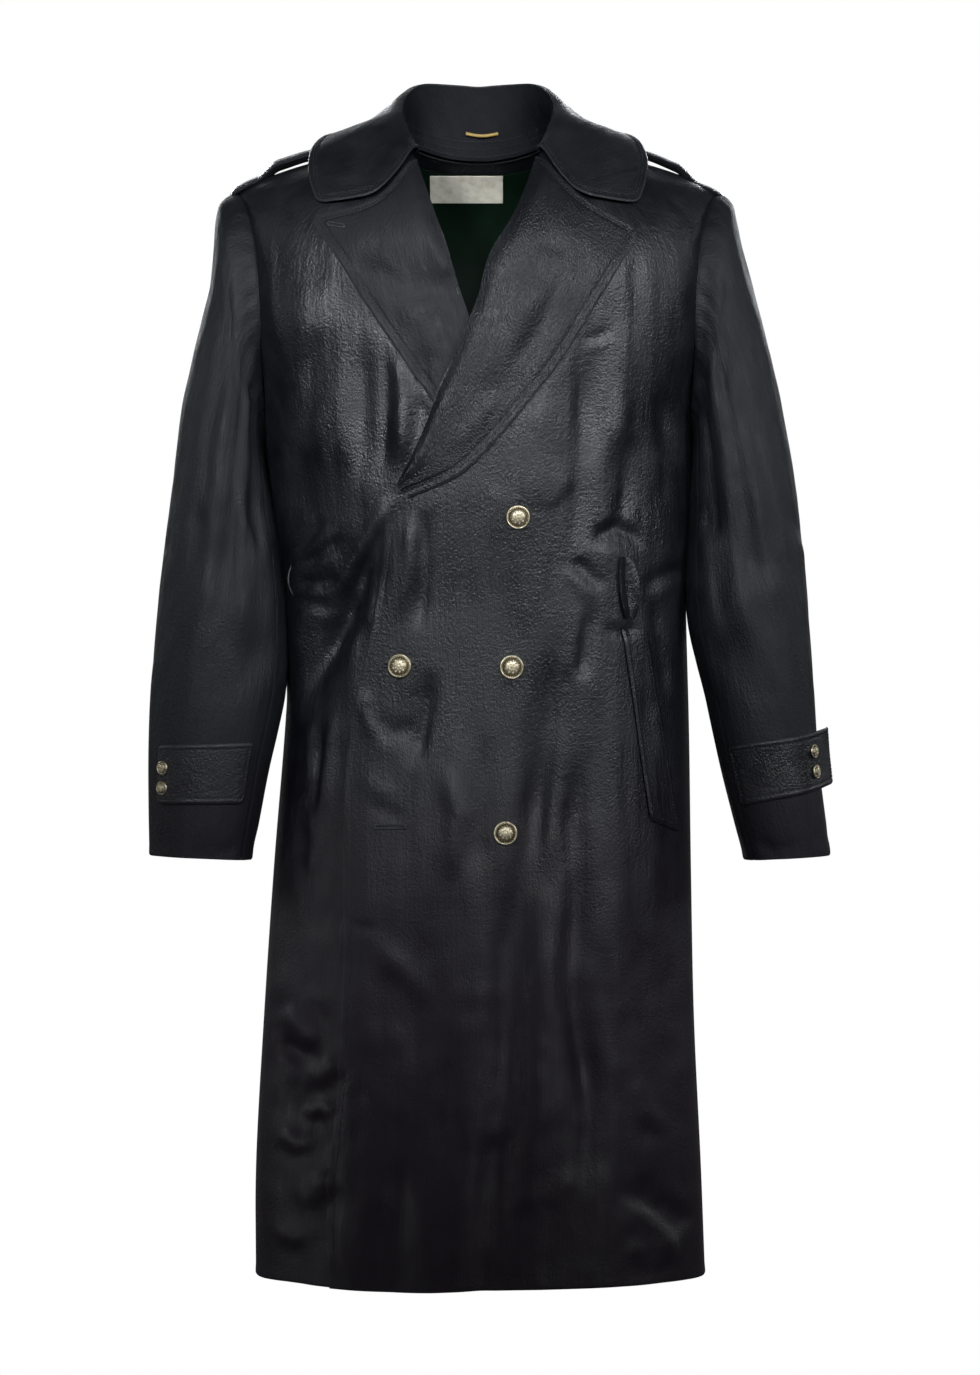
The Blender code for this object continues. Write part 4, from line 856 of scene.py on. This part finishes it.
welt = layOut("pocket_welt_left")
weltMouth, weltSeam = welt["firstColumn"], nearestEdge(welt, "lastColumn", "firstRow", "lastRow")
weltHeights = bodyHeights(welt) - 1.3 * np.exp(-(weltSeam / 3) ** 2)
weltHeights += 0.8 * np.exp(-((weltMouth - 3) / 3) ** 2) - 0.9 * np.exp(-(weltMouth / 1.2) ** 2)
weltHeights += 0.6 * wander(welt["x"], welt["z"], 14, 40, 2.6) + 0.5 * stitchGroove(nearestEdge(welt), 5.4)
press(welt, weltHeights)
cutCloth(welt)

loop = layOut("belt_loop_left")
loopShare = loop["upward"] / loop["upward"][-1:]
loopHalf = loop["across"][:, -1:] / 2
loopOff = (loop["across"] - loopHalf) / loopHalf
loopBulge = np.sin(math.pi * np.clip(0.06 + 0.9 * loopShare, 0, 1)) ** 0.7
narrow = loopOff * loopHalf * (0.42 + 0.72 * loopBulge - 1)        # both edges drawn together at the ends
loop["points"] = loop["points"] + np.stack([narrow * mm, 0 * narrow, 0 * narrow], axis=2) * (
    np.sign(loop["points"][:1, -1:, 0] - loop["points"][:1, :1, 0]))[..., None]
loopHeights = -6.5 * loopBulge * np.exp(-(loopOff / 0.5) ** 2)
press(loop, loopHeights + 0.4 * np.sin(loop["upward"] / 2.4) * (1 - loopBulge))
cutCloth(loop)

lining = layOut("lining_back")
pleat = 1.6 * wander(lining["x"], lining["z"], 20, 130, 5.5)
pleat += 0.5 * wander(lining["x"], lining["z"], 9, 40, 2.2)
pleat = np.clip(pleat, -0.5, 1.2) * ease(2, 18, nearestEdge(lining, *allRound))
hollows = np.minimum(bodyHeights(dict(lining, normals=-lining["normals"])), 0)     # those of the back
press(lining, pleat + 0.8 - hollows * (1 - ease(-75, -50, lining["z"])))
cutCloth(lining, liningCloth)

tag = layOut("label")
tagEdge = nearestEdge(tag, *allRound)
press(tag, 0.25 * wander(tag["across"], tag["upward"], 12, 12, 1.1) - 0.2 * np.exp(-(tagEdge / 1.0) ** 2))
cutCloth(tag, labelCloth)
print("coat: collar, lapels and straps sewn on")


# Sewing: rows of stitches a set distance inside an edge

stitchLook = {"pitch": 3.4, "length": 2.5, "width": 0.42, "sunk": 0.16}
spindle = [(-0.5, 0.25), (-0.36, 0.85), (0.0, 1.0), (0.36, 0.85), (0.5, 0.25)]     # place along, thickness


def edgeLine(cloth, key, at, trim=(0, 0)):
    # the line a set distance inside an edge, as points and outward directions, cut short at both ends
    distance, points, normals = cloth[key], cloth["points"], cloth["normals"]
    if key.endswith("Row"):
        distance, points, normals = distance.T, points.transpose(1, 0, 2), normals.transpose(1, 0, 2)
    line = []
    for gaps, spots, lifts in zip(distance, points, normals):
        order = np.argsort(gaps)
        if gaps.max() > at:
            both = np.concatenate([spots, lifts], axis=1)[order]
            line.append([np.interp(at, gaps[order], both[:, k]) for k in range(6)])
    line = np.array(line)
    walked = walkedLength(line[:, :3]) / mm
    return line[(walked >= trim[0]) & (walked <= walked[-1] - trim[1])]


def threadMesh(name, vertices, faces, owner):
    piece = addPiece(name, vertices, faces)
    piece.data.shade_smooth()
    piece.data.materials.append(blackThread)
    hang(piece)
    cloths[owner]["sewn"].append(piece)


def addTube(vertices, faces, rings):
    # a closed tube through rings of points
    first, sides = len(vertices), len(rings[0])
    for ring in rings:
        vertices.extend(ring)
    for start in range(first, len(vertices) - sides, sides):
        for turn in range(sides):
            a, b = start + turn, start + (turn + 1) % sides
            faces.append((a, b, b + sides, a + sides))
    faces.append(tuple(range(first + sides - 1, first - 1, -1)))
    faces.append(tuple(range(len(vertices) - sides, len(vertices))))


def addStitch(vertices, faces, middle, along, lift, length, width):
    side = lift.cross(along).normalized()
    angles = [math.tau * turn / 6 for turn in range(6)]
    around = [side * math.cos(angle) * 1.15 + lift * math.sin(angle) for angle in angles]
    addTube(vertices, faces, [[middle + along * place * length + off * thick * width for off in around]
                              for place, thick in spindle])


def sew(name, owner, lines):
    vertices, faces = [], []
    for line in lines:
        walked = walkedLength(line[:, :3]) / mm
        count = int(walked[-1] // stitchLook["pitch"])
        for n in range(count):
            at = (n + 0.5) * stitchLook["pitch"] + 0.25 * math.sin(n * 2.3)
            spot, ahead = (Vector([np.interp(at + more, walked, line[:, k]) for k in range(3)])
                           for more in (0, 0.5))
            lift = Vector([np.interp(at, walked, line[:, k + 3]) for k in range(3)]).normalized()
            along = (ahead - spot).normalized()
            middle = spot + lift * (stitchLook["width"] - stitchLook["sunk"]) * mm
            addStitch(vertices, faces, middle, along, lift, stitchLook["length"] * mm, stitchLook["width"] * mm)
    threadMesh(name, vertices, faces, owner)


def topstitch(name, owner, *rows):
    # rows of stitches inside each sewn edge, which stop at the rows of the next edge
    cloth, lines = cloths[owner], []
    edges = cloth["plan"]["edges"]
    for key in edges:
        ends = ("firstColumn", "lastColumn") if key.endswith("Row") else ("firstRow", "lastRow")
        lines += [edgeLine(cloth, key, at, [at * (end in edges) for end in ends]) for at in rows]
    sew(name, owner, lines)


for side in ("left", "right"):
    topstitch("lapel_%s_stitches" % side, "lapel_" + side, 6.2, 9.2)
topstitch("collar_fall_stitches", "collar_fall", 6.2, 9.2)
inside = dict(stand, points=stand["points"] - stand["normals"] * stand["plan"]["thick"] * mm,
              normals=-stand["normals"])
sew("collar_stand_stitches", "collar_stand", [edgeLine(inside, "firstRow", at, (6, 6)) for at in (5, 13, 21)])
overlap = edgeLine(cloths["front_left"], "firstColumn", 7.6, (8, 0))
sew("overlap_stitches", "front_left", [overlap[overlap[:, 2] < -350 * mm]])
for strap in ("epaulette_left", "epaulette_right", "sleeve_strap_left", "sleeve_strap_right"):
    topstitch(strap + "_stitches", strap, 5.4)
topstitch("pocket_welt_stitches", "pocket_welt_left", 5.4)
print("coat: edges topstitched")


def laidLine(cloth, start, end, step):
    # points of the cloth below a straight line seen from the front
    line = []
    count = max(2, round(math.dist(start, end) / step))
    for n in range(count + 1):
        x, z = (a + (b - a) * n / count for a, b in zip(start, end))
        spot, lift, _, _ = cloth["touch"].ray_cast(Vector((x * mm, -0.4, z * mm)), Vector((0, 1, 0)))
        if spot:
            line.append((spot, -lift if lift.y > 0 else lift))
    return line


holeLook = {"pitch": 0.85, "reach": 2.3, "thread": 0.6, "slit": 0.6}


def buttonhole(name, owner, start, end):
    # two close rows of upright stitches along a slit, with a bar across each end
    line = laidLine(cloths[owner], start, end, holeLook["pitch"])
    vertices, faces = [], []
    along = (line[-1][0] - line[0][0]).normalized()
    for n, (spot, lift) in enumerate(line):
        side = lift.cross(along).normalized()
        reach = holeLook["reach"] * (1 + 0.12 * math.sin(n * 1.9)) * mm
        for hand in (-1, 1):
            middle = spot + side * hand * (holeLook["slit"] * mm + reach / 2) + lift * 0.25 * mm
            addStitch(vertices, faces, middle, side, lift, reach, holeLook["thread"] * mm)
    for spot, lift in (line[0], line[-1]):
        side = lift.cross(along).normalized()
        for shift in (-0.5, 0.4):
            addStitch(vertices, faces, spot + along * shift * mm + lift * 0.45 * mm, side, lift,
                      2.4 * holeLook["reach"] * mm, holeLook["thread"] * mm)
    threadMesh(name, vertices, faces, owner)


buttonhole("buttonhole_empty", "front_left", (-100.6, -658), (-70.5, -658))
buttonhole("buttonhole_closed", "front_left", (-93, -500), (-60, -500))
buttonhole("buttonhole_lapel_left", "lapel_left", (96, -75.5), (124, -91))
buttonhole("buttonhole_lapel_right", "lapel_right", (-146, -68), (-130, -71))
print("coat: buttonholes worked")


# Buttons: modelled once at the front size, then copied to each seat

buttonLook = {"sides": 40, "radius": 11.5, "wall": 1.3, "beads": 30, "petals": 9}


def startEdit():
    bpy.ops.object.mode_set(mode="EDIT")
    bpy.ops.mesh.select_all(action="SELECT")


def endEdit():
    bpy.ops.object.mode_set(mode="OBJECT")
    return bpy.context.object


def markHollow(piece, shareOf):
    # the share of tarnish at each point, from its distance to the axis and its height
    tone = piece.data.attributes.new("hollow", "FLOAT", "POINT")
    spots = [spot.co / mm for spot in piece.data.vertices]
    tone.data.foreach_set("value", [float(shareOf(math.hypot(spot.x, spot.y), spot.z)) for spot in spots])


def raisedDots(count, radius, height, size, stretch, twist):
    # a squeezed ball, turned a little and repeated round the button's axis
    bpy.ops.object.select_all(action="DESELECT")
    bpy.ops.mesh.primitive_uv_sphere_add(segments=7, ring_count=5, radius=size * mm)
    startEdit()
    bpy.ops.transform.resize(value=stretch)
    bpy.ops.transform.rotate(value=math.radians(twist), orient_axis="Z", center_override=(0, 0, 0))
    bpy.ops.transform.translate(value=(radius * mm, 0, height * mm))
    dot = endEdit()
    markHollow(dot, lambda r, z: 0.9 - 0.9 * ease(height, height + 0.6 * size * stretch[2], z))
    dots = [dot]
    for _ in range(count - 1):
        bpy.ops.object.duplicate()
        startEdit()
        bpy.ops.transform.rotate(value=math.tau / count, orient_axis="Z", center_override=(0, 0, 0))
        dots.append(endEdit())
    return dots


def modelButton():
    look = buttonLook
    bpy.ops.object.select_all(action="DESELECT")
    bpy.ops.mesh.primitive_circle_add(vertices=look["sides"], radius=0.93 * look["radius"] * mm,
                                      fill_type="NGON")
    startEdit()
    bpy.ops.mesh.extrude_region_move(TRANSFORM_OT_translate={"value": (0, 0, 0.35 * mm)})
    bpy.ops.transform.resize(value=(1 / 0.93, 1 / 0.93, 1))
    bpy.ops.mesh.extrude_region_move(TRANSFORM_OT_translate={"value": (0, 0, look["wall"] * mm)})
    rim = ((0.35, 0.3), (0.45, 0.12), (0.4, -0.1), (0.3, -0.5), (0.9, 0.0), (0.35, 0.35))
    crown = ((0.8, 0.9), (1.0, 0.7), (1.2, 0.42), (1.6, 0.26), (1.7, 0.12), (1.6, 0.04))
    for thick, rise in rim + crown:
        bpy.ops.mesh.inset(thickness=thick * mm, depth=rise * mm)
    bpy.ops.mesh.select_all(action="SELECT")
    bpy.ops.mesh.normals_make_consistent(inside=False)
    dome = endEdit()
    markHollow(dome, lambda r, z: 0.0 if r > 10 else 0.8 if r > 8.5 else 0.36 + 0.35 * ease(6, 8, r))
    parts = [dome]
    parts += raisedDots(look["beads"], 9.35, 1.75, 0.62, (0.75, 1.35, 0.9), 28)      # rope inside the rim
    parts += raisedDots(look["petals"], 5.8, 3.85, 1.15, (1.35, 0.72, 0.55), 24)     # two rings of leaves
    parts += raisedDots(look["petals"] - 2, 3.0, 4.15, 0.95, (1.2, 0.7, 0.55), -30)
    parts += raisedDots(look["petals"] * 2, 7.6, 2.9, 0.45, (1.0, 1.0, 0.8), 0)
    parts += raisedDots(1, 0.0, 4.25, 1.2, (1.0, 1.0, 0.45), 0)
    bpy.ops.object.select_all(action="DESELECT")
    for part in parts:
        part.select_set(True)
    bpy.context.view_layer.objects.active = dome
    bpy.ops.object.join()
    bpy.ops.object.shade_smooth_by_angle(angle=math.radians(50))
    dome.data.materials.append(buttonBrass)
    return dome


def solidSpots(node):
    return np.array([tuple(spot.co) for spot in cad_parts[node].data.vertices])


def seatOf(node):
    # middle, outward axis, radius and depth of a solid button
    spots = solidSpots(node)
    low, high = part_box(node)
    middle = (np.array(low) + np.array(high)) / 2
    spreadOut = np.linalg.eigh((spots - spots.mean(axis=0)).T @ (spots - spots.mean(axis=0)))
    axis = Vector(spreadOut[1][:, 0])
    axis = axis if axis.y < 0 else -axis
    depth = (spots - middle) @ np.array(axis)
    beside = (spots - middle) - depth[:, None] * np.array(axis)
    beside = beside - (beside.max(axis=0) + beside.min(axis=0)) / 2
    radius = float(np.linalg.norm(beside, axis=1).max())
    return Vector(middle), axis, radius, float(depth.min()), float(depth.max())


firstButton = modelButton()
modelTop = max(spot.co.z for spot in firstButton.data.vertices)
for node in buttonNodes + ["sleeve_button_%d" % n for n in range(1, 5)]:
    middle, axis, radius, low, high = seatOf(node)
    piece = firstButton.copy()
    piece.data = firstButton.data.copy()
    piece.name = node + "_brass"
    bpy.context.scene.collection.objects.link(piece)
    up = Vector((0, 0, 1))
    side = (up - axis * up.dot(axis)).normalized()
    turn = Matrix((side.cross(axis), side, axis)).transposed().to_4x4()
    share = radius / (buttonLook["radius"] * mm)
    squeeze = Matrix.Diagonal((share, share, (high - low) / modelTop, 1))
    piece.data.transform(Matrix.Translation(middle + axis * low) @ turn @ squeeze)
    hang(piece, node)
bpy.data.objects.remove(firstButton)
print("coat: buttons sewn on")


# Cords: the twisted hanger loop inside the collar and the thread loop for the belt

cordLook = {
    "hanger_loop": {"material": goldCord, "slot": "hanger_cord", "strands": 3, "twist": 7.0, "step": 0.6,
                    "radius": 1.8, "way": (1, 0, 0)},
    "belt_loop_right": {"material": blackThread, "slot": "loop_thread", "strands": 2, "twist": 4.0, "step": 0.6,
                        "radius": 1.1, "way": (0, 0, -1)},
}


def centreLine(node, direction, radius, count):
    # the middle of a solid tube, from one end to the other
    spots = solidSpots(node)
    along = spots @ np.array(direction)
    line = []
    for at in np.linspace(along.min(), along.max(), count):
        weight = np.exp(-((along - at) / (2.2 * radius)) ** 2)
        line.append((spots * weight[:, None]).sum(axis=0) / weight.sum())
    return np.array(line)


def twistedCord(node, look):
    radius, sides = look["radius"] * mm, 14
    line = centreLine(node, look["way"], radius, 40)
    walked = walkedLength(line)
    at = np.linspace(0, walked[-1], int(walked[-1] / (look["step"] * mm)))
    line = np.stack([np.interp(at, walked, line[:, k]) for k in range(3)], axis=1)
    rings, vertices, faces = [], [], []
    for n, spot in enumerate(line):
        ahead = Vector(line[min(n + 1, len(line) - 1)] - line[max(n - 1, 0)]).normalized()
        first = ahead.orthogonal() if n == 0 else (first - ahead * first.dot(ahead)).normalized()
        second = ahead.cross(first)
        rings.append([])
        for angle in (math.tau * k / sides for k in range(sides)):
            strand = abs(math.cos(look["strands"] / 2 * (angle - at[n] / mm / look["twist"] * math.tau)))
            reach = radius * (0.78 + 0.22 * strand)
            rings[-1].append(Vector(spot) + (first * math.cos(angle) + second * math.sin(angle)) * reach)
    addTube(vertices, faces, rings)
    piece = addPiece(node + "_cord", vertices, faces)
    for face in piece.data.polygons:
        face.use_smooth = len(face.vertices) == 4
    piece.data.materials.append(look["material"])
    hang(piece, node)
    print("coat:", node, "is", round(walked[-1] / mm, 1), "mm long")


for node, look in cordLook.items():
    twistedCord(node, look)


# Stage: pale floor, white surroundings, broad soft lights and the camera at the photo's angle

stageLook = {"floor": -1.47, "floorRadius": 1.85, "floorTone": "#e9e9e7", "surround": 0.05, "lens": 130.9,
             "eye": (0.012, -5.0, -0.522)}


def layFloor():
    bpy.ops.object.select_all(action="DESELECT")
    bpy.ops.mesh.primitive_circle_add(vertices=96, radius=stageLook["floorRadius"], fill_type="NGON",
                                      location=(0, 0, 0))
    startEdit()
    bpy.ops.transform.translate(value=(0, 0, stageLook["floor"]))
    bpy.ops.mesh.inset(thickness=0.02, depth=0.004)
    floor = endEdit()
    floor.name = "floor"
    made, tree, shader = newMaterial("matt floor paint")       # plain pale floor without any shine
    tone = hexColour(stageLook["floorTone"])
    join(tree, shader, {"Base Color": tone, "Roughness": 0.8, "Emission Color": tone, "Emission Strength": 0.7})
    floor.data.materials.append(made)
    floor.visible_diffuse = floor.visible_glossy = False         # the coat takes no light from below


def softBox(name, place, target, size, power, spread):
    light = bpy.data.lights.new(name, "AREA")
    light.shape, light.size, light.size_y, light.energy = "RECTANGLE", size[0], size[1], power
    light.spread, light.color = math.radians(spread), (0.93, 0.96, 1.0)
    holder = bpy.data.objects.new(name, light)
    holder.location = place
    holder.rotation_euler = (Vector(target) - Vector(place)).to_track_quat("-Z", "Y").to_euler()
    bpy.context.scene.collection.objects.link(holder)


boxes = {       # place, target, size, power in watts, spread in degrees
    "left box": ((-1.1, -3.0, 0.75), (-0.12, 0, -0.2), (0.5, 0.6), 1.0, 18),
    "right box": ((2.3, -2.4, 0.75), (0.15, 0, -0.15), (0.7, 1.0), 2.6, 40),
    "front bank": ((0.5, -3.1, 0.72), (0.14, 0, -0.2), (1.2, 0.5), 1.9, 26),
    "low left box": ((-3.2, -1.5, -0.75), (-0.19, -0.05, -0.93), (0.4, 0.5), 0.11, 16),
    "back box": ((0.0, 3.0, 1.2), (0, 0, -0.5), (2.2, 1.4), 25, 180),
    "back left box": ((1.2, 3.0, 0.8), (0.1, 0, -0.35), (0.6, 0.8), 2.2, 36),
    "back right box": ((-1.2, 3.0, 0.8), (-0.1, 0, -0.35), (0.6, 0.8), 2.2, 36),
    "left side box": ((3.0, 1.0, 0.5), (0.25, 0, -0.5), (0.5, 0.9), 0.5, 34),
    "right side box": ((-3.0, 1.0, 0.5), (-0.25, 0, -0.5), (0.5, 0.9), 0.5, 34),
}
layFloor()
for name, settings in boxes.items():
    softBox(name, *settings)

surround = bpy.data.worlds.new("white studio")
surround.use_nodes = True
tree = surround.node_tree
seen = addNode(tree, "ShaderNodeLightPath").outputs["Is Camera Ray"]
level = addNode(tree, "ShaderNodeMapRange", {"Value": seen, "To Min": stageLook["surround"], "To Max": 1.0})
join(tree, tree.nodes["Background"], {"Color": (1, 1, 1, 1), "Strength": level.outputs["Result"]})
bpy.context.scene.world = surround

lens = bpy.data.cameras.new("photo camera")
lens.lens, lens.sensor_width, lens.clip_end = stageLook["lens"], 36, 60
eye = bpy.data.objects.new("photo camera", lens)
eye.location, eye.rotation_euler = stageLook["eye"], (math.radians(90), 0, 0)
bpy.context.scene.collection.objects.link(eye)
bpy.context.scene.camera = eye
bpy.context.scene.view_settings.view_transform = "Standard"
